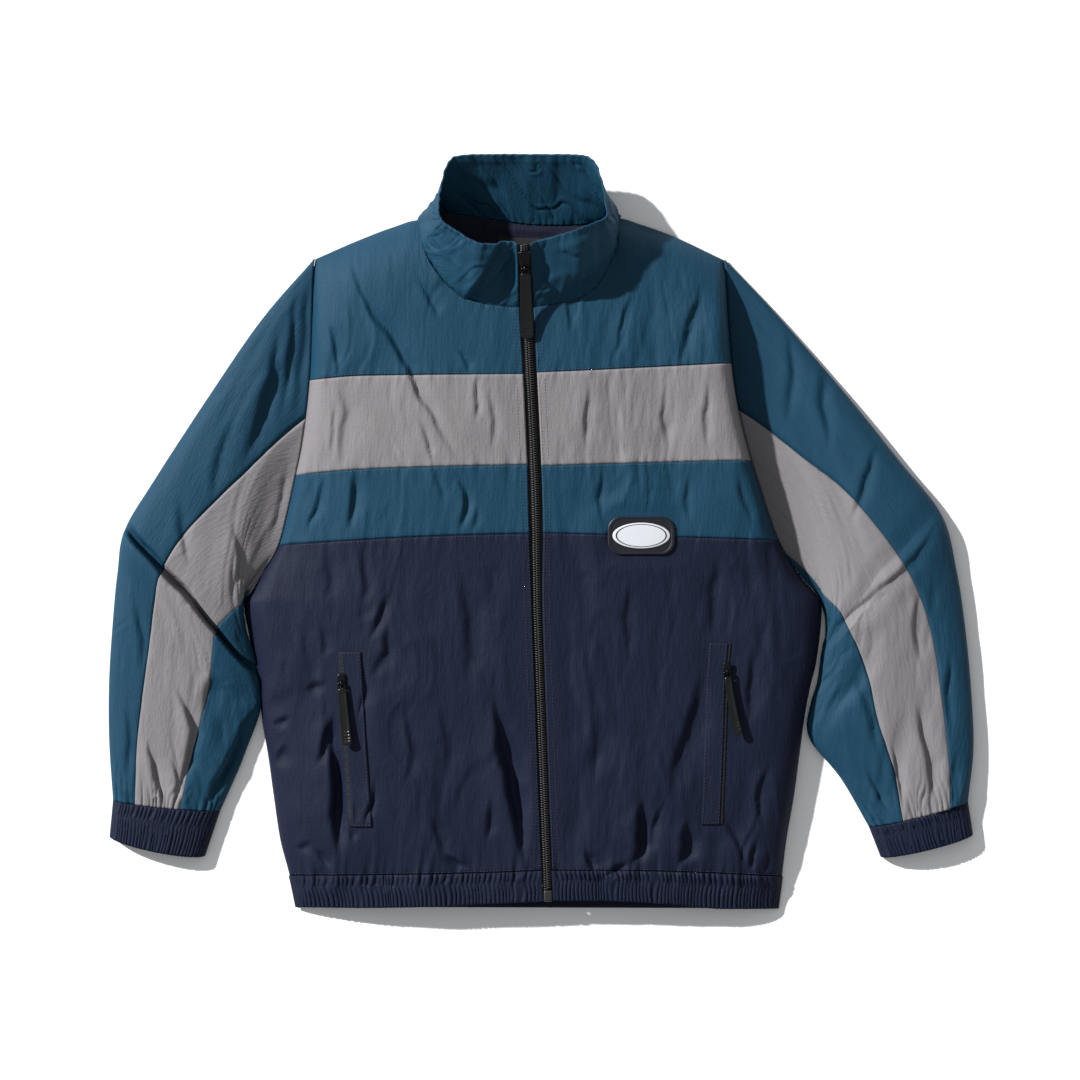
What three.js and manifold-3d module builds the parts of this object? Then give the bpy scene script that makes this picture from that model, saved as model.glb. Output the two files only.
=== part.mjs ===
import * as THREE from 'three';
import { mergeVertices } from 'three/addons/utils/BufferGeometryUtils.js';
import Module from 'manifold-3d';

const wasm = await Module();
wasm.setup();

// Sizes in millimetres. The jacket lies on z = 0, front up, collar towards +y.
// The wearer's right side is at -x.
const clothWall = 1.2;
const collarWall = 1.8;
const seamGap = 0.3;
const armholeGap = 0.5;        // a little more, as the two sides of a curved seam are cut in other places
const foldHeight = 3;          // where a front or sleeve turns over its back
const restClearance = 1.5;     // lowest inside face of a front above the floor
const armholeCrown = 16;
const shoulderFall = 18;       // how far from the shoulder line the front reaches its height
const toothHalf = 3.9;
const tapeTuck = 2.5;          // how far the tape runs in under each front
const tapeHigh = -2;
const tapeLow = -2.8;
const collarTop = 85;

const cloths = {
  teal: { color: 0x265268, roughness: 0.62, metalness: 0 },
  navy: { color: 0x2c3048, roughness: 0.62, metalness: 0 },
  grey: { color: 0x8a8285, roughness: 0.62, metalness: 0 },
  lining: { color: 0x2a2740, roughness: 0.7, metalness: 0 },
  black: { color: 0x15161a, roughness: 0.55, metalness: 0 },
  rubber: { color: 0x17181b, roughness: 0.45, metalness: 0 },
  metal: { color: 0x2b2c30, roughness: 0.35, metalness: 0.8 },
  pale: { color: 0xd9dbe0, roughness: 0.4, metalness: 0 },
};

// Edge: side seam from the hem up to the armpit, then the armhole up to the shoulder point.
// Seams: y of each seam at five even steps from the outer edge (0) to the zip (1).
// Top: shoulder line to the neck point, then the collar seam down to the zip.
const sides = {
  right: {
    sign: -1,
    armpit: -74,
    shoulder: 288.2,
    armpitRow: 0.825,
    neck: 0.508,
    edge: [
      { y: -394.8, x: -257.8 }, { y: -361.7, x: -264.6 }, { y: -322.9, x: -274.6 },
      { y: -280.9, x: -280.9 }, { y: -238.9, x: -286.7 }, { y: -196.9, x: -293.5 },
      { y: -154.9, x: -298.2 }, { y: -112.9, x: -306.1 }, { y: -74, x: -312.4 },
      { y: -60.4, x: -303.3 }, { y: -36.2, x: -288.6 }, { y: -13.1, x: -275.8 },
      { y: 24.7, x: -265.5 }, { y: 60.4, x: -257.7 }, { y: 87.7, x: -252 },
      { y: 120.2, x: -247.3 }, { y: 157, x: -243.4 }, { y: 178, x: -241.9 },
      { y: 221, x: -240.6 }, { y: 276.7, x: -239 }, { y: 288.2, x: -237.3 },
    ],
    seams: {
      hemEdge: [-394.8, -394.9, -393.8, -390.6, -388],
      hem: [-361.7, -360.7, -359.6, -358.1, -355.4],
      navy: [-13.1, -8.9, -5.2, -2.6, -1.1],
      greyLow: [60.4, 65.8, 68.2, 69.8, 70.9],
      greyUp: [160.1, 164.3, 165, 165.4, 165.9],
    },
    top: [
      { u: 0, y: 288.2 }, { u: 0.227, y: 309.2 }, { u: 0.384, y: 321.8 }, { u: 0.508, y: 329.2 },
      { u: 0.532, y: 302.9 }, { u: 0.613, y: 270.4 }, { u: 0.723, y: 248.3 }, { u: 0.847, y: 238.9 },
      { u: 1, y: 235.7 },
    ],
    collar: [
      { x: -107.1, y: 334.4, z: 67 }, { x: -103.5, y: 326, z: 71.5 }, { x: -95.5, y: 319, z: 75.5 },
      { x: -85, y: 312, z: 79.5 }, { x: -73, y: 306, z: 82.5 }, { x: -58, y: 301.8, z: 84 },
      { x: -40, y: 300.2, z: collarTop }, { x: -24.6, y: 299.8, z: collarTop },
    ],
  },
  left: {
    sign: 1,
    armpit: -78.2,
    shoulder: 287.2,
    armpitRow: 0.803,
    neck: 0.537,
    edge: [
      { y: -396.4, x: 250.4 }, { y: -362.4, x: 254.6 }, { y: -328.1, x: 258.8 },
      { y: -274.6, x: 267.8 }, { y: -223.1, x: 274.6 }, { y: -194.8, x: 278.5 },
      { y: -165.4, x: 284 }, { y: -133.9, x: 291.3 }, { y: -78.2, x: 296.6 },
      { y: -44.6, x: 272.5 }, { y: -23.6, x: 259.4 }, { y: -7.9, x: 250.6 },
      { y: 15.2, x: 241.5 }, { y: 49.9, x: 230.3 }, { y: 76.1, x: 221.9 },
      { y: 116, x: 211.4 }, { y: 144.4, x: 205.8 }, { y: 180.1, x: 201.1 },
      { y: 231.5, x: 197.4 }, { y: 264.1, x: 195.8 }, { y: 287.2, x: 193.4 },
    ],
    seams: {
      hemEdge: [-396.4, -395.9, -390.6, -387.4, -386.9],
      hem: [-362.4, -359.1, -356.5, -355.4, -355.4],
      navy: [-8.4, -6.1, -4.2, -2.1, -0.5],
      greyLow: [75.7, 74.5, 73, 71.4, 69.8],
      greyUp: [177.5, 174.8, 172.2, 169.6, 167.5],
    },
    top: [
      { u: 0, y: 287.2 }, { u: 0.276, y: 313.4 }, { u: 0.4375, y: 325 }, { u: 0.537, y: 330.8 },
      { u: 0.558, y: 301.9 }, { u: 0.615, y: 275.6 }, { u: 0.651, y: 263 }, { u: 0.771, y: 246.2 },
      { u: 0.953, y: 237.8 }, { u: 1, y: 236.8 },
    ],
    collar: [
      { x: 70.9, y: 331, z: 70 }, { x: 67.5, y: 327.5, z: 72 }, { x: 60.4, y: 324, z: 75 },
      { x: 50, y: 321, z: 78.5 }, { x: 42, y: 318.8, z: 80.5 }, { x: 27, y: 314, z: 82.5 },
      { x: 8, y: 306.5, z: 84 }, { x: -10, y: 299.8, z: collarTop },
    ],
  },
};

// Panels of one front, from the hem up, each between two seams.
const frontPanels = [
  { name: 'lower_front', from: 'hem', to: 'navy', cloth: 'navy' },
  { name: 'mid_band', from: 'navy', to: 'greyLow', cloth: 'teal' },
  { name: 'chest_band', from: 'greyLow', to: 'greyUp', cloth: 'grey' },
  { name: 'yoke', from: 'greyUp', to: 'top', cloth: 'teal' },
];

// Height of the fronts along the zip.
const crownLine = [
  { y: -400, z: 25 }, { y: -360, z: 29 }, { y: -280, z: 36 }, { y: -180, z: 41 }, { y: -70, z: 43 },
  { y: 30, z: 45 }, { y: 140, z: 46 }, { y: 236, z: 45 }, { y: 340, z: 42 },
];

// Centre line of the zip, with half the width left open between the fronts.
const zipLine = [
  { y: -388, x: 8, open: 5.2 }, { y: -150, x: -0.8, open: 5.2 }, { y: -70.9, x: -3.5, open: 5.4 },
  { y: 15.2, x: -4.7, open: 7.3 }, { y: 200, x: -12.6, open: 7.3 }, { y: 236.8, x: -14.7, open: 7.3 },
  { y: 299.8, x: -17.3, open: 7.3 },
];

// Back of the collar from the right neck point round to the left one: foot and top.
const collarBack = [
  { x: -122, y: 336.5, z: 2.2, tx: -106.5, ty: 346, tz: 63 },
  { x: -108, y: 338.5, z: 2, tx: -104, ty: 362, tz: 56 },
  { x: -88, y: 337.5, z: 1.8, tx: -99.5, ty: 382, tz: 47 },
  { x: -66, y: 335, z: 1.6, tx: -90, ty: 394.5, tz: 41 },
  { x: -40, y: 331, z: 1.6, tx: -62, ty: 396.9, tz: 38 },
  { x: -10, y: 327.5, z: 1.6, tx: -22, ty: 396.9, tz: 37 },
  { x: 20, y: 326.5, z: 1.6, tx: 22, ty: 396.9, tz: 37.5 },
  { x: 44, y: 327.5, z: 1.6, tx: 46, ty: 395.5, tz: 40 },
  { x: 62, y: 329.5, z: 1.8, tx: 59, ty: 386, tz: 46 },
  { x: 76, y: 333, z: 2, tx: 64.5, ty: 368, tz: 55 },
  { x: 84, y: 335, z: 2.2, tx: 68.5, ty: 348, tz: 63 },
];

// Sections of each sleeve from the armhole to the cuff: outer fold, underarm edge, height,
// where the stripe's two seams cross it (0 outer, 1 underarm) and how far it bows to the cuff.
const sleeves = {
  right: [
    { ox: -237.3, oy: 288.2, ix: -312.4, iy: -74, z: 16, near: 0.464, far: 0.962, bow: 0 },
    { ox: -293.5, oy: 223.1, ix: -313.5, iy: -90, z: 20, near: 0.446, far: 0.92, bow: 0 },
    { ox: -351.2, oy: 139.1, ix: -310.9, iy: -106.6, z: 24, near: 0.43, far: 0.873, bow: 0 },
    { ox: -405.8, oy: 55.1, ix: -306.2, iy: -125.5, z: 27, near: 0.33, far: 0.785, bow: 0 },
    { ox: -437.3, oy: 2.1, ix: -302, iy: -142.3, z: 28, near: 0.285, far: 0.716, bow: 0 },
    { ox: -444.7, oy: -41.5, ix: -299.3, iy: -163.3, z: 24, near: 0.27, far: 0.69, bow: 0 },
    { ox: -449.4, oy: -89.8, ix: -299.3, iy: -188.5, z: 23, near: 0.26, far: 0.675, bow: 0 },
    { ox: -453.6, oy: -154.9, ix: -313.4, iy: -234.7, z: 23, near: 0.25, far: 0.67, bow: 0 },
    { ox: -453.6, oy: -217.9, ix: -327.1, iy: -267.2, z: 21, near: 0.23, far: 0.655, bow: 1 },
    { ox: -449.5, oy: -281.9, ix: -338.6, iy: -292.4, z: 19, near: 0.21, far: 0.64, bow: 3 },
  ],
  left: [
    { ox: 193.4, oy: 287.2, ix: 296.6, iy: -78.2, z: 16, near: 0.434, far: 0.85, bow: 0 },
    { ox: 253.6, oy: 223.1, ix: 300.4, iy: -94, z: 20, near: 0.447, far: 0.89, bow: 0 },
    { ox: 326, oy: 139.1, ix: 301.4, iy: -109.7, z: 24, near: 0.37, far: 0.85, bow: 0 },
    { ox: 376.4, oy: 76.1, ix: 300.8, iy: -120.2, z: 27, near: 0.34, far: 0.81, bow: 0 },
    { ox: 421.6, oy: 18.4, ix: 299.2, iy: -129.6, z: 28, near: 0.336, far: 0.8, bow: 0 },
    { ox: 437.3, oy: -39.4, ix: 295.4, iy: -157, z: 25, near: 0.26, far: 0.72, bow: 0 },
    { ox: 446.8, oy: -102.4, ix: 287.6, iy: -184.3, z: 23, near: 0.205, far: 0.635, bow: 0 },
    { ox: 453.1, oy: -170.6, ix: 284.2, iy: -215.8, z: 23, near: 0.18, far: 0.58, bow: 0 },
    { ox: 455.2, oy: -228.4, ix: 317.6, iy: -258.8, z: 21, near: 0.19, far: 0.61, bow: 2 },
    { ox: 449.4, oy: -283, ix: 347, iy: -309.2, z: 19, near: 0.18, far: 0.66, bow: 4 },
  ],
};
const elbowSection = 4;

const cuffs = {
  right: { ox: -453.1, oy: -320.2, ix: -354.4, iy: -339.7, z: 17, bow: 7 },
  left: { ox: 454.8, oy: -318.2, ix: 359.6, iy: -341.2, z: 17, bow: 5 },
};
const cuffWaves = 28;
const hemWaves = 50;
const waveHeight = 0.8;

// Largest creases of the fronts: a line, its depth (below 0) or height, and its half width.
const frontFolds = [
  { x0: -196, y0: 260, x1: -112, y1: 108, z: -4, wide: 13 },
  { x0: -213, y0: 197, x1: -200, y1: 24, z: -3.5, wide: 13 },
  { x0: -223, y0: -176, x1: -212, y1: -340, z: -5, wide: 14 },
  { x0: -47, y0: -165, x1: -27, y1: -340, z: -5, wide: 11 },
  { x0: -163, y0: -84, x1: -190, y1: -123, z: -3, wide: 13 },
  { x0: 167, y0: -145, x1: 129, y1: -281, z: 4, wide: 18 },
  { x0: 104, y0: -281, x1: 84, y1: -345, z: -4, wide: 13 },
  { x0: 54, y0: -176, x1: 55, y1: -249, z: -2.5, wide: 14 },
];

const sleeveFolds = [
  { x0: -277, y0: 202, x1: -311, y1: 81, z: -4, wide: 13 },
  { x0: -384, y0: -165, x1: -369, y1: -236, z: -3.5, wide: 11 },
  { x0: -310, y0: -197, x1: -351, y1: -286, z: -3.5, wide: 11 },
  { x0: 394, y0: -176, x1: 409, y1: -281, z: -3.5, wide: 11 },
];

const lerp = THREE.MathUtils.lerp;
const clamp = THREE.MathUtils.clamp;

// Even steps from a to b, both included.
function steps(a, b, count) {
  return Array.from({ length: count + 1 }, (_, i) => lerp(a, b, i / count));
}

// Value of one column at a place between two rows.
function between(rows, key, at, column) {
  let i = rows.findIndex((row) => row[key] > at) - 1;
  if (i === -2) i = rows.length - 2;
  i = clamp(i, 0, rows.length - 2);
  const share = clamp((at - rows[i][key]) / (rows[i + 1][key] - rows[i][key]), 0, 1);
  return lerp(rows[i][column], rows[i + 1][column], share);
}

// Catmull-Rom curve through one column, with s counted in rows.
function smooth(rows, s, column) {
  const i = clamp(Math.floor(s), 0, rows.length - 2);
  const t = s - i;
  const b = rows[i][column];
  const c = rows[i + 1][column];
  const a = i > 0 ? rows[i - 1][column] : 2 * b - c;
  const d = i < rows.length - 2 ? rows[i + 2][column] : 2 * c - b;
  return b + 0.5 * t * (c - a + t * (2 * a - 5 * b + 4 * c - d + t * (3 * (b - c) + d - a)));
}

// Sum of the soft creases at a point.
function folds(rows, x, y) {
  let z = 0;
  for (const row of rows) {
    const along = new THREE.Vector2(row.x1 - row.x0, row.y1 - row.y0);
    const from = new THREE.Vector2(x - row.x0, y - row.y0);
    const share = from.dot(along) / along.lengthSq();
    const off = from.cross(along) / along.length();
    const ends = THREE.MathUtils.smoothstep(share, -0.15, 0.2) * (1 - THREE.MathUtils.smoothstep(share, 0.8, 1.15));
    z += row.z * Math.exp(-((off / row.wide) ** 2)) * ends;
  }
  return z;
}

// The flattened tube: 0 at both edges of the sleeve, 1 in its middle.
function hump(f) {
  return (2 * Math.sqrt(Math.max(0, f * (1 - f)))) ** 0.9;
}

// Height of a front where the sleeve or the side seam meets it.
function edgeHeight(side, y) {
  const f = clamp((side.shoulder - y) / (side.shoulder - side.armpit), 0, 1);
  return lerp(foldHeight, armholeCrown, hump(f));
}

function zipEdge(side, y) {
  return between(zipLine, 'y', y, 'x') + side.sign * between(zipLine, 'y', y, 'open');
}

function topLine(side, u) {
  return between(side.top, 'u', u, 'y');
}

// A front as a surface: u runs from its outer edge (0) to the zip (1), y is the height on the body.
function frontPoint(side, u, y) {
  const x = lerp(between(side.edge, 'y', y, 'x'), zipEdge(side, y), u);
  const edge = edgeHeight(side, y);
  const rise = (1 - (1 - u) ** 3.5) ** 0.77;
  const shoulderY = topLine(side, Math.min(u, side.neck)) + 30 * Math.max(0, u - side.neck);
  const fall = 1 - Math.exp(-Math.max(0, shoulderY - y) / shoulderFall);
  const crease = folds(frontFolds, x, y) * THREE.MathUtils.smoothstep(u, 0, 0.08);
  const z = edge + ((between(crownLine, 'y', y, 'z') - edge) * rise + crease) * fall;
  return new THREE.Vector3(x, y, z);
}

function frontNormal(side, u, y) {
  const normal = surfaceNormal((a, b) => frontPoint(side, a, b), clamp(u, 0.004, 0.996), y, 0.004, 1);
  return normal.multiplyScalar(-side.sign);
}

// Point over a front at a place seen from above, lifted off its face.
function onFront(side, x, y, lift) {
  const edge = between(side.edge, 'y', y, 'x');
  const u = (x - edge) / (zipEdge(side, y) - edge);
  return frontPoint(side, u, y).addScaledVector(frontNormal(side, u, y), lift);
}

// Outward directions of a grid of points, from its neighbours along both ways.
function gridNormals(points) {
  const rows = points.length;
  const columns = points[0].length;
  const pick = (r, c) => points[clamp(r, 0, rows - 1)][clamp(c, 0, columns - 1)];
  return points.map((line, r) => line.map((point, c) => {
    const across = pick(r, c + 1).clone().sub(pick(r, c - 1));
    const along = pick(r + 1, c).clone().sub(pick(r - 1, c));
    return across.cross(along).normalize();
  }));
}

// Upward or outward direction of a surface given as a function of two numbers.
function surfaceNormal(surface, a, b, stepA, stepB) {
  const across = surface(a + stepA, b).sub(surface(a - stepA, b));
  const along = surface(a, b + stepB).sub(surface(a, b - stepB));
  return across.cross(along).normalize();
}

// Closed body between two grids of points that face each other.
function bodyBetween(outer, inner, closed = false) {
  const rows = outer.length;
  const columns = outer[0].length;
  const back = rows * columns;
  const id = (r, c) => r * columns + (closed ? c % columns : c);
  const index = [];
  const quad = (a, b, c, d) => index.push(a, b, c, a, c, d);
  const last = closed ? columns : columns - 1;
  for (let r = 0; r < rows - 1; r++) {
    for (let c = 0; c < last; c++) {
      quad(id(r, c), id(r, c + 1), id(r + 1, c + 1), id(r + 1, c));
      quad(back + id(r, c), back + id(r + 1, c), back + id(r + 1, c + 1), back + id(r, c + 1));
    }
  }
  for (let c = 0; c < last; c++) {
    const r = rows - 1;
    quad(id(0, c), back + id(0, c), back + id(0, c + 1), id(0, c + 1));
    quad(id(r, c + 1), back + id(r, c + 1), back + id(r, c), id(r, c));
  }
  if (!closed) {
    for (let r = 0; r < rows - 1; r++) {
      quad(id(r + 1, 0), back + id(r + 1, 0), back + id(r, 0), id(r, 0));
      quad(id(r, last), back + id(r, last), back + id(r + 1, last), id(r + 1, last));
    }
  }
  return meshData([...outer.flat(), ...inner.flat()], index);
}

// Geometry from points and triangles, turned to face outwards.
function meshData(points, index) {
  let volume = 0;
  for (let i = 0; i < index.length; i += 3) {
    const [a, b, c] = [points[index[i]], points[index[i + 1]], points[index[i + 2]]];
    volume += a.dot(b.clone().cross(c));
  }
  if (volume < 0) index.reverse();
  const geometry = new THREE.BufferGeometry();
  geometry.setAttribute('position', new THREE.Float32BufferAttribute(points.flatMap((p) => [p.x, p.y, p.z]), 3));
  geometry.setIndex(index);
  return geometry;
}

// Cloth of an even wall behind a grid of outer points, along their outward directions.
function shell(points, normals, wall, { closed = false, lowest = -Infinity, flip = 1 } = {}) {
  const inner = points.map((line, r) => line.map((point, c) => {
    const inside = point.clone().addScaledVector(normals[r][c], -wall * flip);
    inside.z = Math.max(inside.z, lowest);
    return inside;
  }));
  return bodyBetween(points, inner, closed);
}

// Flat piece cut to an outline.
function flatPiece(outline, low, high) {
  const shape = new THREE.Shape(outline.map(([x, y]) => new THREE.Vector2(x, y)));
  const geometry = new THREE.ExtrudeGeometry(shape, { depth: high - low, bevelEnabled: false });
  return geometry.translate(0, 0, low);
}

const jacket = new THREE.Group();

function add(name, geometry, cloth) {
  const mesh = new THREE.Mesh(geometry, new THREE.MeshStandardMaterial(cloths[cloth]));
  mesh.name = name;
  jacket.add(mesh);
}

// Fronts

function seamY(side, seam, u) {
  if (seam === 'top') return topLine(side, u);
  const values = side.seams[seam].map((y, i) => ({ u: i / 4, y }));
  return between(values, 'u', u, 'y');
}

function frontColumns(side) {
  const { neck } = side;
  return [0, 0.02, 0.06, 0.13, 0.22, 0.32, 0.42, neck, neck + 0.025, neck + 0.07, neck + 0.13,
    0.71, 0.79, 0.89, 1];
}

function panelRows(side, name) {
  if (name === 'lower_front') return [...steps(0, side.armpitRow, 10), ...steps(side.armpitRow, 1, 3).slice(1)];
  return steps(0, 1, { mid_band: 3, chest_band: 5, yoke: 6 }[name]);
}

// y on the body for a row of a panel, half a seam gap inside both its seams.
function panelY(side, panel, u, v) {
  const upper = seamY(side, panel.to, u) - (panel.to === 'top' ? 0 : seamGap / 2);
  return lerp(seamY(side, panel.from, u) + seamGap / 2, upper, v);
}

function buildFront(sideName) {
  const side = sides[sideName];
  const columns = frontColumns(side);
  for (const panel of frontPanels) {
    const rows = panelRows(side, panel.name);
    const points = rows.map((v) => columns.map((u) => frontPoint(side, u, panelY(side, panel, u, v))));
    const normals = rows.map((v) => columns.map((u) => frontNormal(side, u, panelY(side, panel, u, v))));
    const geometry = shell(points, normals, clothWall, { lowest: restClearance });
    add(`${sideName}_${panel.name}`, geometry, panel.cloth);
  }
}

// Places where the rows of the panels meet the armhole, from the armpit up.
function armholeRows(side) {
  const ys = frontPanels.flatMap((panel) => panelRows(side, panel.name).map((v) => panelY(side, panel, 0, v)));
  return [side.armpit, ...ys.filter((y) => y > side.armpit + 1 && y < side.shoulder - 1), side.shoulder]
    .sort((a, b) => a - b)
    .map((y) => ({ y, x: between(side.edge, 'y', y, 'x') }));
}

// Hem bands: soft waves that grow from the seam to the edge.
function buildHem(sideName) {
  const side = sides[sideName];
  const columns = steps(0, 1, 2 * hemWaves);
  const hemY = (u, v) => lerp(seamY(side, 'hem', u) - seamGap / 2, seamY(side, 'hemEdge', u), v);
  const points = [0, 1].map((v) => columns.map((u, i) => {
    const point = frontPoint(side, u, hemY(u, v));
    const calm = THREE.MathUtils.smoothstep(u, 0, 0.08) * THREE.MathUtils.smoothstep(1 - u, 0, 0.04);
    point.z += waveHeight * (i % 2 ? -v : v) * calm;
    return point;
  }));
  const normals = [0, 1].map((v) => columns.map((u) => frontNormal(side, u, hemY(u, v))));
  const geometry = shell(points, normals, clothWall, { lowest: restClearance });
  add(`${sideName}_hem`, geometry, 'navy');
}

// Back: flat pieces on the floor, cut to the same edges as the fronts

function sideEdge(side, low, high) {
  const armhole = armholeRows(side).filter((row) => row.y > Math.max(low, side.armpit) && row.y < high);
  const seam = side.edge.filter((row) => row.y > low && row.y <= Math.min(high, side.armpit));
  const ends = [low, high].map((y) => ({ y, x: between(side.edge, 'y', y, 'x') }));
  return [ends[0], ...seam, ...armhole, ends[1]].map((row) => [row.x, row.y]);
}

function buildBack() {
  const { right, left } = sides;
  const span = (from, to, gapLow, gapHigh) => [
    ...sideEdge(right, right.seams[from][0] + gapLow, right.seams[to][0] - gapHigh),
    ...sideEdge(left, left.seams[from][0] + gapLow, left.seams[to][0] - gapHigh).reverse(),
  ];
  const half = seamGap / 2;
  add('back_lower', flatPiece(span('hem', 'navy', half, half), 0, clothWall), 'navy');
  add('back_hem', flatPiece(span('hemEdge', 'hem', 0, half), 0, clothWall), 'navy');
  const neckAt = (side) => frontPoint(side, side.neck, topLine(side, side.neck));
  const shoulder = (side) => [[neckAt(side).x, neckAt(side).y]];
  const upper = [
    ...sideEdge(right, right.seams.navy[0] + half, right.shoulder),
    ...shoulder(right),
    ...collarBack.map(({ x, y }) => [x, y]),
    ...shoulder(left),
    ...sideEdge(left, left.seams.navy[0] + half, left.shoulder).reverse(),
  ];
  add('back_upper', flatPiece(upper, 0, clothWall), 'teal');
}

// Sleeves: a flattened tube, cut into an inner panel, a stripe and an outer panel that wraps
// round the outer fold and under to the underarm seam

// Point of the armhole for a share of the way from the shoulder (0) to the armpit (1).
function armholePoint(side, f) {
  const y = lerp(side.shoulder, side.armpit, f);
  return new THREE.Vector2(between(side.armhole, 'y', y, 'x'), y);
}

// Step of one seam gap from the armhole towards the sleeve.
function offArmhole(side, f) {
  const reach = 0.02;
  const along = armholePoint(side, clamp(f + reach, 0, 1)).sub(armholePoint(side, clamp(f - reach, 0, 1)));
  const ends = 1 - THREE.MathUtils.smoothstep(Math.min(f, 1 - f), 0, 0.06);
  return new THREE.Vector3(side.sign * -along.y, side.sign * along.x, 0).setLength(armholeGap + clothWall * ends);
}

// q runs over the top from the underarm (0) to the outer fold (1) and back underneath (2).
function tubePoint(section, q, wave = 0) {
  const f = (1 + Math.cos(Math.PI * q)) / 2;
  const sine = Math.abs(Math.sin(Math.PI * q));
  const x = lerp(section.ox, section.ix, f);
  const y = lerp(section.oy, section.iy, f) - section.bow * sine;
  const over = foldHeight + (section.z - foldHeight) * sine ** 0.9 + wave * sine;
  const under = foldHeight * Math.max(0, 1 - (sine / 0.35) ** 2);
  return new THREE.Vector3(x, y, q <= 1 ? over : under);
}

function sleeveSection(sideName, s) {
  const rows = sleeves[sideName];
  const section = {};
  for (const column of Object.keys(rows[0])) section[column] = smooth(rows, s, column);
  return section;
}

// Elbow: the upper arm ends in a fold that stands over the lower arm, sharper on the right sleeve.
function elbowFold(sideName, s) {
  const [ridge, drop, sharp] = sideName === 'right' ? [4, 9, 0.28] : [3, 4, 0.45];
  const from = s - elbowSection;
  return ridge * Math.exp(-(((from + 0.15) / sharp) ** 2)) - drop * Math.exp(-(((from - 0.42) / sharp) ** 2));
}

function sleevePoint(sideName, s, q) {
  const side = sides[sideName];
  const section = sleeveSection(sideName, s);
  const point = tubePoint(section, q);
  const f = (1 + Math.cos(Math.PI * q)) / 2;
  const nearArmpit = THREE.MathUtils.smoothstep(f, 0.86, 0.97);
  const fade = Math.max(0, 1 - s / lerp(1.3, 0.3, nearArmpit)) ** 2;
  const start = sleeves[sideName][0];
  const straight = new THREE.Vector2(lerp(start.ox, start.ix, f), lerp(start.oy, start.iy, f));
  const curve = armholePoint(side, f).sub(straight).multiplyScalar(fade);
  const roundCorner = 1.6 * nearArmpit * (1 - THREE.MathUtils.smoothstep(s, 0.8, 2));
  point.x += curve.x + side.sign * roundCorner;
  point.y += curve.y;
  if (q < 1) {
    const sine = Math.sin(Math.PI * q);
    point.z += (elbowFold(sideName, s) + folds(sleeveFolds, point.x, point.y)) * sine * Math.min(1, 2 * s);
  }
  return point;
}

const sleeveRows = [0, 0.35, 0.8, 1.4, 2, 2.6, 3.1, 3.5, 3.8, 4.05, 4.25, 4.45, 4.75, 5.2, 5.8, 6.4, 7,
  7.6, 8.2, 8.7, 9];
const undersideSteps = [1.06, 1.14, 1.35, 1.6, 1.82, 1.93, 1.982];
const underarmStart = 0.014;

// Loop place of a share of the sleeve's width, on the top.
function loopPlace(f) {
  return Math.acos(clamp(2 * f - 1, -1, 1)) / Math.PI;
}

// The seams leave the armhole at a slant, so their gap is widened along the section there.
function sleeveColumns(sideName, piece, s) {
  const section = sleeveSection(sideName, s);
  const slant = 1 + 2.5 * (1 - THREE.MathUtils.smoothstep(s, 0, 1.5));
  const half = slant * seamGap / 2 / Math.hypot(section.ox - section.ix, section.oy - section.iy);
  if (piece === 'sleeve_inner') return steps(underarmStart, loopPlace(section.far + half), 3);
  if (piece === 'sleeve_stripe') return steps(loopPlace(section.far - half), loopPlace(section.near + half), 4);
  return [...steps(loopPlace(section.near - half), 1, 4), ...undersideSteps];
}

function buildSleeve(sideName) {
  const side = sides[sideName];
  side.armhole = armholeRows(side);
  for (const [piece, cloth] of [['sleeve_inner', 'teal'], ['sleeve_stripe', 'grey'], ['sleeve_outer', 'teal']]) {
    const points = sleeveRows.map((s) => sleeveColumns(sideName, piece, s).map((q) => {
      const point = sleevePoint(sideName, s, q);
      if (s === 0) point.add(offArmhole(side, (1 + Math.cos(Math.PI * q)) / 2));
      return point;
    }));
    const normals = sleeveRows.map((s) => sleeveColumns(sideName, piece, s).map((q) => (
      surfaceNormal((a, b) => sleevePoint(sideName, a, b), clamp(s, 0.03, 8.97), q, 0.03, 0.008))));
    add(`${sideName}_${piece}`, shell(points, normals, clothWall, { flip: side.sign }), cloth);
  }
}

// Cuffs: a closed ring with waves over its top half.
function buildCuff(sideName) {
  const start = sleeves[sideName].at(-1);
  const end = cuffs[sideName];
  const columns = [...steps(0, 1, 2 * cuffWaves).slice(0, -1), 1, 1.06, 1.13, 1.3, 1.5, 1.7, 1.87, 1.94];
  const length = Math.hypot(end.ox - start.ox, end.oy - start.oy);
  const rows = [seamGap / length, 1];
  const ring = (v, q, wave) => {
    const section = {};
    for (const key of Object.keys(end)) section[key] = lerp(start[key], end[key], v);
    return tubePoint(section, q, wave);
  };
  const points = rows.map((v) => columns.map((q, i) => ring(v, q, q < 1 ? waveHeight * (i % 2 ? -v : v) : 0)));
  const normals = rows.map((v) => columns.map((q) => (
    surfaceNormal((a, b) => ring(a, (b + 2) % 2, 0), v, q, 0.02, 0.008))));
  const geometry = shell(points, normals, clothWall, { closed: true, flip: sides[sideName].sign });
  add(`${sideName}_cuff`, geometry, 'navy');
}

// Collar: from the right front edge round the back of the neck to the left front edge

function collarStations() {
  const front = (side) => frontColumns(side).slice(7).map((u, i) => {
    const foot = frontPoint(side, u, topLine(side, u) + seamGap);
    return { foot, top: new THREE.Vector3(side.collar[i].x, side.collar[i].y, side.collar[i].z) };
  });
  const back = collarBack.map((row) => ({
    foot: new THREE.Vector3(row.x, row.y, row.z),
    top: new THREE.Vector3(row.tx, row.ty, row.tz),
  }));
  return [...front(sides.right).reverse(), ...back, ...front(sides.left)];
}

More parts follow.
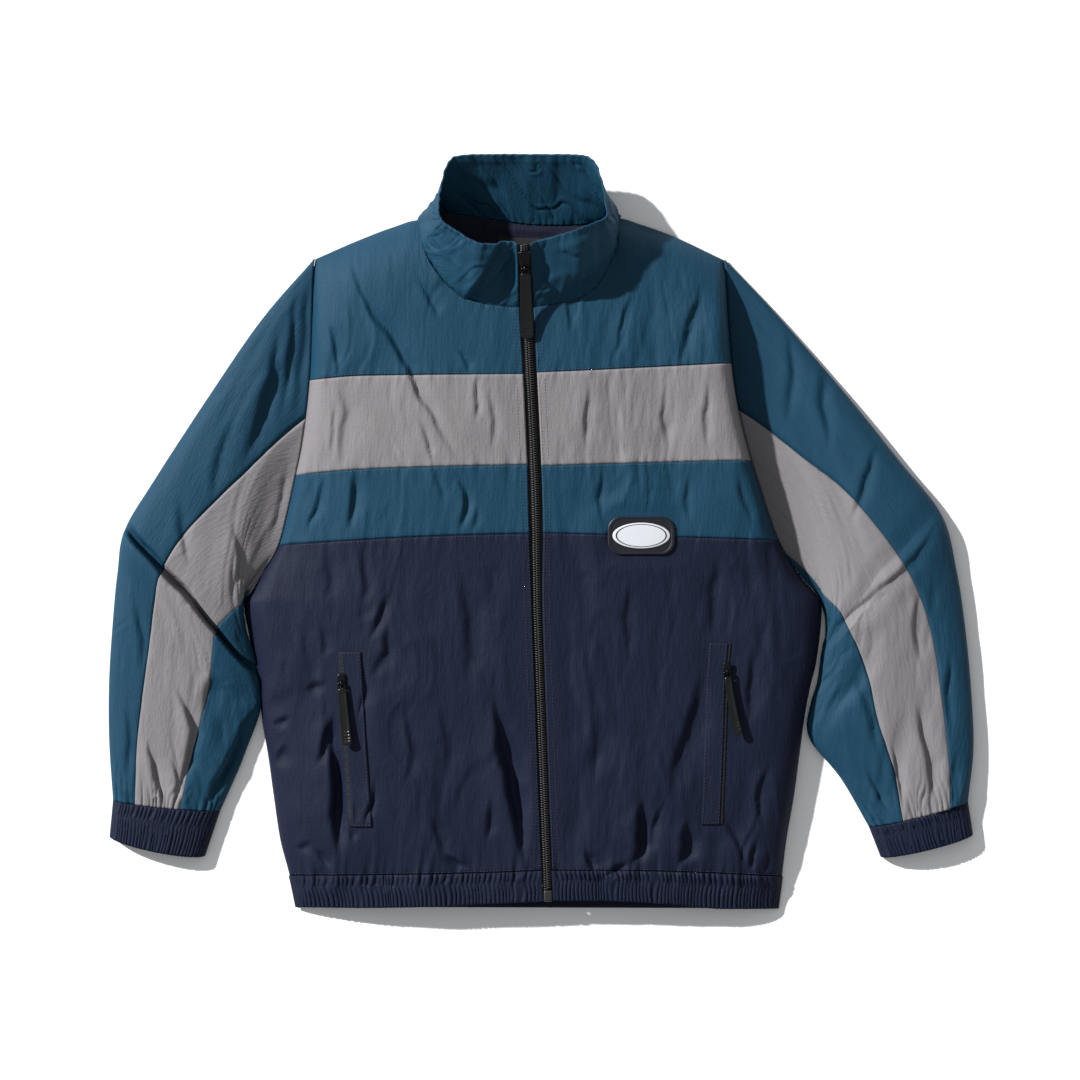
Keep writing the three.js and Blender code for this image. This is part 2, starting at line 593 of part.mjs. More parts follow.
function buildCollar() {
  const stations = collarStations();
  const points = steps(0, 1, 4).map((v) => stations.map(({ foot, top }) => foot.clone().lerp(top, v)));
  add('collar', shell(points, gridNormals(points), collarWall, { flip: -1 }), 'teal');
}

// Inside of the neck
function buildNeckInside() {
  const inset = 4;
  const neckline = collarBack.map(({ x, y }) => [x * 0.97, y - inset]);
  const lining = [...neckline, [74, 262], [-112, 262]];
  add('neck_lining', flatPiece(lining, clothWall + seamGap, 2 * clothWall + seamGap), 'lining');
  const label = [[-46, 311], [36, 309], [36, 284], [-46, 286]];
  add('neck_label', flatPiece(label, 3, 3.8), 'black');
}

// Front zip

// Path of the zip from the box at the hem to the top of the collar, with its upward direction.
function zipPath() {
  const torso = steps(-375.5, 236, 15).map((y) => {
    const x = between(zipLine, 'y', y, 'x');
    const z = (frontPoint(sides.right, 1, y).z + frontPoint(sides.left, 1, y).z) / 2;
    return new THREE.Vector3(x, y, z);
  });
  const foot = torso.at(-1);
  const head = new THREE.Vector3(-17.3, 299.5, collarTop);
  const neck = steps(0.2, 1, 4).map((t) => foot.clone().lerp(head, t));
  return [...torso, ...neck];
}

function ribbon(path, edges, low, high) {
  const grid = (lift) => path.map((point, r) => {
    const ahead = path[Math.min(r + 1, path.length - 1)].clone().sub(path[Math.max(r - 1, 0)]).normalize();
    const up = new THREE.Vector3(0, -ahead.z, ahead.y).normalize();
    return edges(point).map((dx) => point.clone().addScaledVector(up, lift).add(new THREE.Vector3(dx, 0, 0)));
  });
  return bodyBetween(grid(high), grid(low));
}

function buildZip() {
  const path = zipPath();
  for (const [name, side] of Object.entries(sides)) {
    const middle = side.sign * seamGap / 2;
    const tapeEdges = (point) => {
      const open = between(zipLine, 'y', point.y, 'open');
      const reach = point.y < 225 ? open + tapeTuck : open - 4 * seamGap;
      return [middle, side.sign * reach];
    };
    add(`${name}_zip_tape`, ribbon(path, tapeEdges, tapeLow, tapeHigh), 'black');
    add(`${name}_zip_teeth`, ribbon(path, () => [middle, side.sign * toothHalf], -1.2, 1.1), 'black');
  }
  const box = solidBox(8.8, 12, 3.6);
  const foot = zipPath()[0];
  add('zip_box', fromSolid(box).translate(foot.x + 0.3, foot.y - 6.4, foot.z - 0.6), 'black');
}

// Solids joined with manifold

function toSolid(geometry) {
  const plain = geometry.clone();
  plain.deleteAttribute('normal');
  plain.deleteAttribute('uv');
  const merged = mergeVertices(plain, 1e-4);
  return new wasm.Manifold(new wasm.Mesh({
    numProp: 3,
    vertProperties: new Float32Array(merged.attributes.position.array),
    triVerts: new Uint32Array(merged.index.array),
  }));
}

function fromSolid(solid) {
  const mesh = solid.getMesh();
  const geometry = new THREE.BufferGeometry();
  geometry.setAttribute('position', new THREE.BufferAttribute(mesh.vertProperties, 3));
  geometry.setIndex(new THREE.BufferAttribute(mesh.triVerts, 1));
  return geometry;
}

function solidBox(x, y, z, at = [0, 0, 0]) {
  return toSolid(new THREE.BoxGeometry(x, y, z).translate(...at));
}

// Round bar along x.
function solidBar(radius, length, at = [0, 0, 0]) {
  return toSolid(new THREE.CylinderGeometry(radius, radius, length, 16).rotateZ(Math.PI / 2).translate(...at));
}

// Slider seen in its own frame: y along the zip, z out of it, the hinge bar's axis at the origin.
function sliderGeometry({ wide, long, plate, arch, below }) {
  const hole = arch - 1.7;
  const plateTop = -hole - 0.1;
  const skirt = below;
  let solid = solidBox(wide, long, plate, [0, long / 2 - 3, plateTop - plate / 2]);
  for (const sign of [-1, 1]) {
    solid = solid.add(solidBox(1.5, long, skirt, [sign * (wide / 2 - 0.75), long / 2 - 3, plateTop - skirt / 2]));
  }
  solid = solid.add(solidBar(arch, 2.4));
  solid = solid.subtract(solidBar(hole, 4));
  return fromSolid(solid);
}

// Pull seen in its own frame: the bar's axis at the origin, the strap along -y,
// turning up by an arc and to the side by a bow.
function pullGeometry({ bar, wide, thick, long, arc, bow }) {
  const sections = steps(0, 1, 9);
  const start = 5.5;
  const ringSides = 8;
  const points = sections.map((t) => {
    const reach = lerp(start, long, t);
    const turn = arc * reach / long;
    const centre = new THREE.Vector3(bow * (reach / long) ** 2, -reach * Math.cos(turn / 2), reach * Math.sin(turn / 2));
    const round = Math.min(1, Math.sqrt(Math.max(0, 1 - ((t - 0.93) / 0.09) ** 2)) || (t < 0.93 ? 1 : 0.3));
    const half = lerp(0.8, 1, t) * wide / 2 * (t < 0.93 ? 1 : round);
    const out = new THREE.Vector3(0, Math.sin(turn), Math.cos(turn));
    return Array.from({ length: ringSides }, (_, k) => {
      const a = (k + 0.5) / ringSides * 2 * Math.PI;
      const side = clamp(1.25 * Math.cos(a), -1, 1) * half;
      const lift = clamp(1.6 * Math.sin(a), -1, 1) * thick / 2;
      return centre.clone().add(new THREE.Vector3(side, 0, 0)).addScaledVector(out, lift);
    });
  });
  let solid = toSolid(loft(points));
  solid = solid.add(solidBar(bar, 7.6));
  for (const sign of [-1, 1]) solid = solid.add(solidBox(1.6, 8, 1.6, [sign * 3, -3.4, 0]));
  return fromSolid(solid);
}

// Solid through rings of points, closed by flat ends.
function loft(rings) {
  const sidesOf = rings[0].length;
  const index = [];
  for (let r = 0; r < rings.length - 1; r++) {
    for (let k = 0; k < sidesOf; k++) {
      const a = r * sidesOf + k;
      const b = r * sidesOf + (k + 1) % sidesOf;
      index.push(a, b, b + sidesOf, a, b + sidesOf, a + sidesOf);
    }
  }
  const end = (rings.length - 1) * sidesOf;
  for (let k = 1; k < sidesOf - 1; k++) {
    index.push(0, k + 1, k);
    index.push(end, end + k, end + k + 1);
  }
  return meshData(rings.flat(), index);
}

// Frame at a place: y along the zip (down the strap is -y), z out of the cloth.
function frameAt(origin, along, out, turn = 0) {
  const z = out.clone().normalize();
  const x = along.clone().cross(z).normalize();
  const y = z.clone().cross(x);
  const matrix = new THREE.Matrix4().makeBasis(x, y, z);
  matrix.multiply(new THREE.Matrix4().makeRotationZ(turn));
  return matrix.setPosition(origin);
}

const mainSlider = { wide: 12, long: 22, plate: 1.8, arch: 3.4, below: 4.1 };
const mainPull = { bar: 1, wide: 14, thick: 2.8, long: 77, arc: 0.44, bow: 0 };
const mainHinge = { y: 277.7, height: 5.1 };

function buildMainPull() {
  const path = zipPath();
  const head = path.at(-1);
  const foot = path.at(-6);
  const along = head.clone().sub(foot).normalize();
  const out = new THREE.Vector3(0, -along.z, along.y).normalize();
  const share = (mainHinge.y - foot.y) / (head.y - foot.y);
  const origin = foot.clone().lerp(head, share).addScaledVector(out, mainHinge.height);
  const frame = frameAt(origin, along, out);
  add('zip_slider', sliderGeometry(mainSlider).applyMatrix4(frame), 'metal');
  add('zip_pull', pullGeometry(mainPull).applyMatrix4(frame), 'rubber');
  return origin;
}

// Pockets: a zip along the opening, a welt on its inner side, a small slider and its pull

const pockets = {
  right: {
    line: [{ y: -309.2, x: -198.6 }, { y: -247.3, x: -202.8 }, { y: -125.5, x: -210.2 }],
    welt: 19, hinge: -158, pull: { bar: 0.9, wide: 11, thick: 2.2, long: 66, arc: 0.06, bow: 1 }, turn: 0.02,
  },
  left: {
    line: [{ y: -306.6, x: 189.5 }, { y: -221, x: 192.9 }, { y: -150.2, x: 195.2 }, { y: -116, x: 197.9 }],
    welt: -18, hinge: -146, pull: { bar: 0.9, wide: 9, thick: 2.2, long: 68, arc: 0.06, bow: 5 }, turn: 0.15,
  },
};
const pocketZipHalf = 2.6;
const pocketLift = 1;
const pocketSlider = { wide: 8, long: 13, plate: 1.4, arch: 3, below: 1.4 };

function buildPocket(sideName) {
  const side = sides[sideName];
  const pocket = pockets[sideName];
  const lineX = (y) => between(pocket.line, 'y', y, 'x');
  const rows = steps(pocket.line[0].y, pocket.line.at(-1).y, 9);
  const strip = (offsets, low, high) => {
    const grid = (lift) => rows.map((y) => offsets.map((dx) => onFront(side, lineX(y) + dx, y, lift)));
    return bodyBetween(grid(high), grid(low));
  };
  const inward = Math.sign(pocket.welt);
  const zipOffsets = [-pocketZipHalf, 0, pocketZipHalf];
  add(`${sideName}_pocket_zip`, strip(zipOffsets, pocketLift, pocketLift + 1.6), 'black');
  const weltStart = inward * (pocketZipHalf + seamGap);
  const weltOffsets = steps(weltStart, weltStart + pocket.welt, 3);
  add(`${sideName}_pocket_welt`, strip(weltOffsets, pocketLift, pocketLift + 1.2), 'navy');
  const x = lineX(pocket.hinge);
  const lift = pocketLift + 1.6 + seamGap + pocketSlider.plate + pocketSlider.arch - 1.6;
  const origin = onFront(side, x, pocket.hinge, lift);
  const out = origin.clone().sub(onFront(side, x, pocket.hinge, 0));
  const along = onFront(side, lineX(pocket.hinge + 20), pocket.hinge + 20, 0)
    .sub(onFront(side, lineX(pocket.hinge - 60), pocket.hinge - 60, 0));
  add(`${sideName}_pocket_slider`, sliderGeometry(pocketSlider).applyMatrix4(frameAt(origin, along, out)), 'metal');
  const pullFrame = frameAt(origin, along, out, pocket.turn);
  add(`${sideName}_pocket_pull`, pullGeometry(pocket.pull).applyMatrix4(pullFrame), 'rubber');
  return { origin, axis: new THREE.Vector3(1, 0, 0).transformDirection(pullFrame) };
}

// Badge: a plate with a raised rim and an oval on it, both laid over the left front

const badge = { x: 105.5, y: -3.3, wide: 70, high: 39.5, corner: 13.5 };
const oval = { wide: 60, high: 27 };

// Solid plate made of rings from the outline to the centre, each with its two heights.
function plate(outline, rings, place) {
  const points = [];
  for (const { size, low, high } of rings) {
    for (const [x, y] of outline) points.push(place(x * size, y * size, high));
    for (const [x, y] of outline) points.push(place(x * size, y * size, low));
  }
  const n = outline.length;
  const index = [];
  const quad = (a, b, c, d) => index.push(a, b, c, a, c, d);
  for (let k = 0; k < n; k++) {
    const m = (k + 1) % n;
    quad(n + k, n + m, m, k);
    for (let r = 0; r < rings.length - 1; r++) {
      const here = r * 2 * n;
      const next = here + 2 * n;
      quad(here + k, here + m, next + m, next + k);
      quad(here + n + m, here + n + k, next + n + k, next + n + m);
    }
    const top = points.length;
    const last = (rings.length - 1) * 2 * n;
    index.push(last + k, last + m, top);
    index.push(last + n + m, last + n + k, top + 1);
  }
  const centre = rings.at(-1);
  points.push(place(0, 0, centre.high), place(0, 0, centre.low));
  return meshData(points, index);
}

function roundedOutline({ wide, high, corner }) {
  const outline = [];
  const corners = [[1, 1, 0], [-1, 1, 1], [-1, -1, 2], [1, -1, 3]];
  for (const [sx, sy, quarter] of corners) {
    for (const t of steps(0, 1, 4)) {
      const a = (quarter + t) * Math.PI / 2;
      outline.push([sx * (wide / 2 - corner) + corner * Math.cos(a), sy * (high / 2 - corner) + corner * Math.sin(a)]);
    }
  }
  return outline;
}

function buildBadge() {
  const place = (x, y, lift) => onFront(sides.left, badge.x + x, badge.y + y, lift);
  const low = 0.7;
  const rings = [
    { size: 1, low, high: 1.9 }, { size: 0.975, low, high: 2.5 }, { size: 0.91, low, high: 2.5 },
    { size: 0.89, low, high: 1.9 },
  ];
  add('badge_base', plate(roundedOutline(badge), rings, place), 'black');
  const ellipse = Array.from({ length: 24 }, (_, k) => {
    const a = k / 24 * 2 * Math.PI;
    return [oval.wide / 2 * Math.cos(a), oval.high / 2 * Math.sin(a)];
  });
  const dome = [{ size: 1, low: 2.2, high: 2.9 }, { size: 0.93, low: 2.2, high: 3.3 }];
  add('badge_oval', plate(ellipse, dome, place), 'pale');
}

for (const name of Object.keys(sides)) {
  buildFront(name);
  buildHem(name);
  buildSleeve(name);
  buildCuff(name);
  buildPocket(name);
}
buildBack();
buildCollar();
buildNeckInside();
buildZip();
buildMainPull();
buildBadge();

// The middle of the whole outline stands over the origin.
jacket.position.set(-0.5, -0.25, 0);

export default jacket;
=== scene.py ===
import math

import bpy
import numpy as np
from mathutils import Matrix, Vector


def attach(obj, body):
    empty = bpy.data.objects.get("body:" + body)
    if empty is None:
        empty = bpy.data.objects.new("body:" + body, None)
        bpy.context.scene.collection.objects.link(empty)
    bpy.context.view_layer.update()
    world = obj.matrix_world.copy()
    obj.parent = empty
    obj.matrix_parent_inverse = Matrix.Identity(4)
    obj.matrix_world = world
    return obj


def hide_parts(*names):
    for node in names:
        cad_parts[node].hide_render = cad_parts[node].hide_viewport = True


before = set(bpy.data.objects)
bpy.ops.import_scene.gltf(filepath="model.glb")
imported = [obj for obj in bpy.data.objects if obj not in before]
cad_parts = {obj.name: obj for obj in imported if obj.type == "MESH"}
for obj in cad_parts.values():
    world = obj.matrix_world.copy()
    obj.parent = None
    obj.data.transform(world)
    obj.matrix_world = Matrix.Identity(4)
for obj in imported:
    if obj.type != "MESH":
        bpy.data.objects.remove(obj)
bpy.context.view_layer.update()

# Tables are in millimetres on the laid-out jacket, meshes are in metres.
mm = 0.001
partPlace = np.array([-0.5, -0.25, 0.0])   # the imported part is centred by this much

cloth = {
    "wall": 1.2,
    "collarWall": 1.8,
    "seamGap": 0.06,
    "grid": 2.5,          # spacing of the points of a front or a sleeve
    "lowest": 1.5,        # no inner face of a front lies lower
}


# Curves, noise and creases

def smoothStep(low, high, x):
    # 3t^2 - 2t^3, with t the share of the way from low to high, held between 0 and 1
    t = np.clip((np.asarray(x, float) - low) / (high - low), 0, 1)
    return t * t * (3 - 2 * t)


def mix(a, b, t):
    return a + (b - a) * t


def throughPoints(table, at):
    # Cubic pieces through the (place, value) rows. The slope at a row is the harmonic mean of the
    # slopes on its two sides, and 0 where they turn.
    xs, ys = np.array(table, float).T
    gap = np.diff(xs)
    rise = np.diff(ys) / gap
    before, after = 2 * gap[1:] + gap[:-1], gap[1:] + 2 * gap[:-1]
    same = rise[:-1] * rise[1:] > 0
    safe = np.where(rise == 0, 1, rise)
    mean = (before + after) / (before / safe[:-1] + after / safe[1:])
    slope = np.concatenate([rise[:1], np.where(same, mean, 0), rise[-1:]])
    at = np.clip(at, xs[0], xs[-1])
    i = np.clip(np.searchsorted(xs, at, side="right") - 1, 0, len(xs) - 2)
    t = (at - xs[i]) / gap[i]
    return (ys[i] * (1 + 2 * t) * (1 - t) ** 2 + slope[i] * gap[i] * t * (1 - t) ** 2
            + ys[i + 1] * t * t * (3 - 2 * t) + slope[i + 1] * gap[i] * t * t * (t - 1))


def softNoise(x, y, seed):
    # Random heights from -1 to 1 on a unit lattice, joined by 6t^5 - 15t^4 + 10t^3
    heights = np.random.default_rng(seed).uniform(-1, 1, (256, 256))
    i, j = np.floor(x).astype(int), np.floor(y).astype(int)
    u, v = x - i, y - j
    u, v = [t ** 3 * (t * (6 * t - 15) + 10) for t in (u, v)]
    low = mix(heights[i & 255, j & 255], heights[(i + 1) & 255, j & 255], u)
    high = mix(heights[i & 255, (j + 1) & 255], heights[(i + 1) & 255, (j + 1) & 255], u)
    return mix(low, high, v)


crumpleSizes = {
    "soft": (50, 150, 2.0),      # width, length and height of the softest waves
    "medium": (17, 52, 0.6),
    "short": (8.5, 30, 0.42),
    "fine": (4.2, 17, 0.24),
    "long": (27, 170, 1.25),      # thin creases where a wave crosses its middle
    "thin": (12, 85, 0.8),
}


def crumple(x, y, seed):
    # Waves of four sizes, each longer down the cloth than across it, bent by one slow drift. The
    # smaller ones come in patches. Thin creases follow t e^(-t^2), a ridge beside a trough.
    drift = softNoise(x / 70, y / 70, seed)
    patch = 0.35 + 1.0 * smoothStep(-0.5, 0.7, softNoise(x / 48, y / 66, seed + 8))
    total = 0
    for k, name in enumerate(("soft", "medium", "short", "fine")):
        wide, long, high = crumpleSizes[name]
        much = 1 if name == "soft" else patch
        total = total + much * high * softNoise(x / wide + drift, y / long + 0.3 * drift, seed + k + 1)
    for k, name in enumerate(("long", "thin")):
        wide, long, high = crumpleSizes[name]
        t = softNoise(x / wide + 0.9 * drift, y / long, seed + 5 + k) / 0.13
        where = smoothStep(-0.1, 0.6, softNoise(x / 55 + k, y / 70, seed + 12 + k))
        total = total + high * where * t * np.exp(-t * t)
    return total


lightSide = np.array([-0.77, 0.64])
creaseDepth = 1.15


def creaseHeight(rows, x, y):
    # A row is (depth, width, points). Each leaves a trough -depth * exp(-(d / width)^2) beside its
    # line, sudden on the side of the light, and a ridge there that rises slowly. Both die out
    # towards the line's two ends.
    # The place is first bent by a small noise, so no crease runs straight.
    total = np.zeros(np.shape(x))
    x = x + 3.2 * softNoise(x / 26, y / 34, 301) + 0.9 * softNoise(x / 8, y / 11, 302)
    y = y + 2.0 * softNoise(x / 30, y / 30, 303)
    for depth, width, points in rows:
        line = np.array(points, float)
        reach = 3.5 * width
        low, high = line.min(0) - reach, line.max(0) + reach
        near = (x > low[0]) & (x < high[0]) & (y > low[1]) & (y < high[1])
        if not near.any():
            continue
        px, py = x[near], y[near]
        lengths = np.hypot(*np.diff(line, axis=0).T)
        starts = np.concatenate([[0], np.cumsum(lengths)])
        best = np.full(px.shape, 1e9)
        side, share = np.zeros(px.shape), np.zeros(px.shape)
        for k, length in enumerate(lengths):
            along = (line[k + 1] - line[k]) / length
            normal = np.array([-along[1], along[0]])
            normal = normal * (1 if normal @ lightSide > 0 else -1)
            run = np.clip((px - line[k, 0]) * along[0] + (py - line[k, 1]) * along[1], 0, length)
            dx, dy = px - line[k, 0] - run * along[0], py - line[k, 1] - run * along[1]
            far = np.hypot(dx, dy)
            closer = far < best
            best = np.where(closer, far, best)
            side = np.where(closer, np.sign(dx * normal[0] + dy * normal[1]), side)
            share = np.where(closer, (starts[k] + run) / starts[-1], share)
        off = best * side
        ends = smoothStep(-0.04, 0.42, share) * (1 - smoothStep(0.6, 1.04, share))
        width = width * (0.4 + 0.6 * ends)
        trough = np.exp(-((off + 0.4 * width) / (np.where(off > -0.4 * width, 0.42, 1.25) * width)) ** 2)
        ridge = 0.3 * np.exp(-((off - 0.4 * width) / (np.where(off > 0.4 * width, 1.5, 0.5) * width)) ** 2)
        total[near] += creaseDepth * depth * ends * (ridge - trough)
    return total


# Meshes

def gridNormals(points):
    # Across x along, from the neighbours of each point
    across, along = np.gradient(points, axis=1), np.gradient(points, axis=0)
    normal = np.cross(across, along)
    return normal / np.maximum(np.linalg.norm(normal, axis=2, keepdims=True), 1e-9)


def gridQuads(rows, columns, closed=False):
    ids = np.arange(rows * columns).reshape(rows, columns)
    if closed:
        ids = np.hstack([ids, ids[:, :1]])
    return np.stack([ids[:-1, :-1], ids[:-1, 1:], ids[1:, 1:], ids[1:, :-1]], -1).reshape(-1, 4)


def arcLengths(points):
    # Length along each row and up each column, as the cloth's own coordinates
    right = np.linalg.norm(np.diff(points, axis=1), axis=2)
    up = np.linalg.norm(np.diff(points, axis=0), axis=2)
    u = np.hstack([np.zeros((len(points), 1)), np.cumsum(right, 1)])
    v = np.vstack([np.zeros((1, points.shape[1])), np.cumsum(up, 0)])
    return np.stack([u - u.mean(1, keepdims=True), v - v.mean(0, keepdims=True)], -1)


def outward(points, faces):
    # The faces, turned round where the volume they close comes out below 0
    a, b, c = points[faces[:, 0]], points[faces[:, 1]], points[faces[:, 2]]
    volume = np.einsum("ij,ij->i", a, np.cross(b, c)).sum()
    if faces.shape[1] == 4:
        d = points[faces[:, 3]]
        volume += np.einsum("ij,ij->i", a, np.cross(c, d)).sum()
    return faces if volume > 0 else faces[:, ::-1]


def addPiece(name, points, faces, finish, stands=(), body="garment", slot=None, uv=None):
    # Points in millimetres and faces of four (or three) corners, made one smooth mesh
    mesh = bpy.data.meshes.new(name)
    points = (np.asarray(points, float) + partPlace) * mm
    faces = np.asarray(faces)
    corners = faces.shape[1]
    mesh.vertices.add(len(points))
    mesh.vertices.foreach_set("co", points.ravel())
    mesh.loops.add(faces.size)
    mesh.loops.foreach_set("vertex_index", faces.ravel().astype(np.int32))
    mesh.polygons.add(len(faces))
    mesh.polygons.foreach_set("loop_start", np.arange(0, faces.size, corners, dtype=np.int32))
    mesh.polygons.foreach_set("use_smooth", np.ones(len(faces), bool))
    mesh.update(calc_edges=True)
    if uv is None:
        uv = points[:, :2] / mm
    layer = mesh.uv_layers.new(name="cloth")
    layer.data.foreach_set("uv", (np.asarray(uv)[faces.ravel()] * mm).ravel())
    mesh.validate()
    piece = bpy.data.objects.new(name, mesh)
    bpy.context.scene.collection.objects.link(piece)
    mesh.materials.append(finish)
    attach(piece, body)
    if stands:
        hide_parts(*stands)
    return piece


def wallFaces(rows, columns, closed=False):
    # Top, underside and the strips that join them round the open edges
    n = rows * columns
    top = gridQuads(rows, columns, closed)
    under = top[:, ::-1] + n
    ids = np.arange(n).reshape(rows, columns)
    rims = [ids[0], ids[-1, ::-1]]
    if closed:
        rims = [np.append(ids[0], ids[0, 0]), np.append(ids[-1, ::-1], ids[-1, -1])]
    else:
        rims += [ids[::-1, 0], ids[:, -1]]
    strips = [np.stack([rim[:-1], rim[:-1] + n, rim[1:] + n, rim[1:]], -1) for rim in rims]
    return np.vstack([top, under, *strips])


def clothShell(name, outer, finish, wall=None, flip=1, lowest=None, inner=None, closed=False, flatCloth=False,
               **more):
    # The outer grid and the same grid a wall's thickness inside it, as one closed piece
    if inner is None:
        wall = cloth["wall"] if wall is None else wall
        inner = outer - flip * wall * gridNormals(outer)
        if lowest is not None:
            inner[..., 2] = np.maximum(inner[..., 2], lowest)
    rows, columns = outer.shape[:2]
    points = np.concatenate([outer.reshape(-1, 3), inner.reshape(-1, 3)])
    faces = outward(points, wallFaces(rows, columns, closed))
    lengths = (outer[..., :2] if flatCloth else arcLengths(outer)).reshape(-1, 2)
    return addPiece(name, points, faces, finish, uv=np.vstack([lengths, lengths]), **more)


def copiesAlong(centres, along, up, shape, faces):
    # One small shape set at each centre: its x across, y along and z up
    across = np.cross(along, up)
    axes = np.stack([across, along, up], 1)
    points = centres[:, None] + np.einsum("vk,nkc->nvc", shape, axes)
    step = (np.arange(len(centres)) * len(shape))[:, None, None]
    return points.reshape(-1, 3), (faces[None] + step).reshape(-1, faces.shape[1])


def unit(vectors):
    return vectors / np.maximum(np.linalg.norm(vectors, axis=-1, keepdims=True), 1e-9)


def evenPlaces(path, pitch, start=0.0):
    # Centres and directions at even steps of arc length along a path of points
    lengths = np.linalg.norm(np.diff(path, axis=0), axis=1)
    total = np.concatenate([[0], np.cumsum(lengths)])
    places = np.arange(start + pitch / 2, total[-1], pitch)
    at = np.stack([np.interp(places, total, path[:, k]) for k in range(path.shape[1])], -1)
    ahead = np.stack([np.interp(places + 0.5, total, path[:, k]) for k in range(path.shape[1])], -1)
    back = np.stack([np.interp(places - 0.5, total, path[:, k]) for k in range(path.shape[1])], -1)
    return at, ahead - back


# Materials

class Field:
    # A number that changes over the surface, with the usual arithmetic
    def __init__(self, maker, socket):
        self.maker, self.socket = maker, socket

    def combine(self, operation, first, second):
        made = self.maker.node("ShaderNodeMath", {"operation": operation}, {0: first, 1: second})
        return Field(self.maker, made.outputs[0])

    def __add__(self, other):
        return self.combine("ADD", self, other)

    def __sub__(self, other):
        return self.combine("SUBTRACT", self, other)

    def __mul__(self, other):
        return self.combine("MULTIPLY", self, other)

    def __truediv__(self, other):
        return self.combine("DIVIDE", self, other)

    def __rsub__(self, other):
        return self.combine("SUBTRACT", other, self)

    def __gt__(self, other):
        return self.combine("GREATER_THAN", self, other)

    def __lt__(self, other):
        return self.combine("LESS_THAN", self, other)

    def __pow__(self, other):
        return self.combine("POWER", self, other)

    __radd__ = __add__
    __rmul__ = __mul__


class Finish:
    # A material with one Principled shader and short ways to add nodes to it
    def __init__(self, name, **constants):
        self.material = bpy.data.materials.new(name)
        self.material.use_nodes = True
        self.tree = self.material.node_tree
        self.shader = self.tree.nodes["Principled BSDF"]
        for socket, value in constants.items():
            self.shader.inputs[socket].default_value = value

    def node(self, kind, settings=None, sockets=None):
        made = self.tree.nodes.new(kind)
        for key, value in (settings or {}).items():
            setattr(made, key, value)
        for key, value in (sockets or {}).items():
            self.feed(made.inputs[key], value)
        return made

    def feed(self, socket, value):
        if isinstance(value, Field):
            value = value.socket
        if isinstance(value, bpy.types.NodeSocket):
            self.tree.links.new(value, socket)
        else:
            socket.default_value = value

    def coordinates(self, kind, scale, turn=0.0):
        where = self.node("ShaderNodeTexCoord")
        return self.node("ShaderNodeMapping", None, {
            "Vector": where.outputs[kind], "Scale": scale, "Rotation": (0, 0, turn)}).outputs[0]

    def noise(self, kind, scale, detail=2.0, rough=0.5, turn=0.0, warp=0.0):
        made = self.node("ShaderNodeTexNoise", None, {
            "Vector": self.coordinates(kind, scale, turn), "Scale": 1.0, "Detail": detail,
            "Roughness": rough, "Distortion": warp})
        return Field(self, made.outputs["Fac"])

    def lines(self, kind, period, width, axis=0):
        # 1 on thin lines that repeat every period along one axis
        parts = self.node("ShaderNodeSeparateXYZ", None, {"Vector": self.coordinates(kind, (1 / period,) * 3)})
        along = Field(self, parts.outputs[axis])
        share = Field(self, self.node("ShaderNodeMath", {"operation": "FRACT"}, {0: along}).outputs[0])
        return share < width

    def blend(self, amount, low, high):
        made = self.node("ShaderNodeMix", {"data_type": "RGBA"}, {0: amount, 6: low, 7: high})
        return made.outputs[2]

    def finishWith(self, colour=None, rough=None, height=None, strength=0.3, distance=0.3):
        if colour is not None:
            self.feed(self.shader.inputs["Base Color"], colour)
        if rough is not None:
            self.feed(self.shader.inputs["Roughness"], rough)
        if height is not None:
            bump = self.node("ShaderNodeBump", None, {
                "Height": height, "Strength": strength, "Distance": distance * mm})
            self.tree.links.new(bump.outputs[0], self.shader.inputs["Normal"])
        return self.material


def shade(red, green, blue, gain=1.0):
    # A screen colour of 0 to 255 as linear light
    values = [(c / 255 / 12.92) if c <= 10 else ((c / 255 + 0.055) / 1.055) ** 2.4 for c in (red, green, blue)]
    return (*[min(1, v * gain) for v in values], 1)


nylonLook = {
    "teal": {"colour": (17, 54, 74), "pale": 1.25, "dark": 0.8},
    "navy": {"colour": (15, 22, 41), "pale": 1.25, "dark": 0.8},
    "grey": {"colour": (113, 110, 112), "pale": 1.14, "dark": 0.86},
    "lining": {"colour": (20, 21, 38), "pale": 1.2, "dark": 0.82},
}


def nylon(name):
    # Plain weave with uneven threads both ways, a faint grid of heavier ones and a fine crinkle
    look = nylonLook[name]
    made = Finish(name + "Nylon", **{"Specular IOR Level": 0.14})
    warp = made.noise("UV", (1500, 260, 1), 1.0)
    weft = made.noise("UV", (260, 1300, 1), 1.0)
    crinkle = made.noise("UV", (330, 75, 1), 3.0, 0.6)
    mottle = made.noise("Object", (22, 22, 22), 3.0)
    heavy = made.lines("UV", 0.0046, 0.1, 0) + made.lines("UV", 0.0046, 0.1, 1)
    weave = warp * 0.5 + weft * 0.5
    amount = weave * 0.8 + mottle * 0.2 + heavy * 0.03
    colour = made.blend(amount, shade(*look["colour"], look["dark"]), shade(*look["colour"], look["pale"]))
    return made.finishWith(colour, weave * 0.16 + 0.56, weave * 0.4 + heavy * 0.05 + crinkle * 1.0, 0.8, 0.8)


def plain(name, colour, rough, metallic=0.0, bump=0.25, grain=900, **more):
    # Moulded or cast surface: fine grain in its roughness and height, and a little change of tone
    made = Finish(name, Metallic=metallic, **more)
    fine = made.noise("Object", (grain,) * 3, 2.0)
    broad = made.noise("Object", (60, 60, 60), 2.0)
    colour = made.blend(broad, shade(*colour, 0.85), shade(*colour, 1.2))
    return made.finishWith(colour, fine * 0.2 + broad * 0.1 + (rough - 0.15), fine, bump, 0.15)


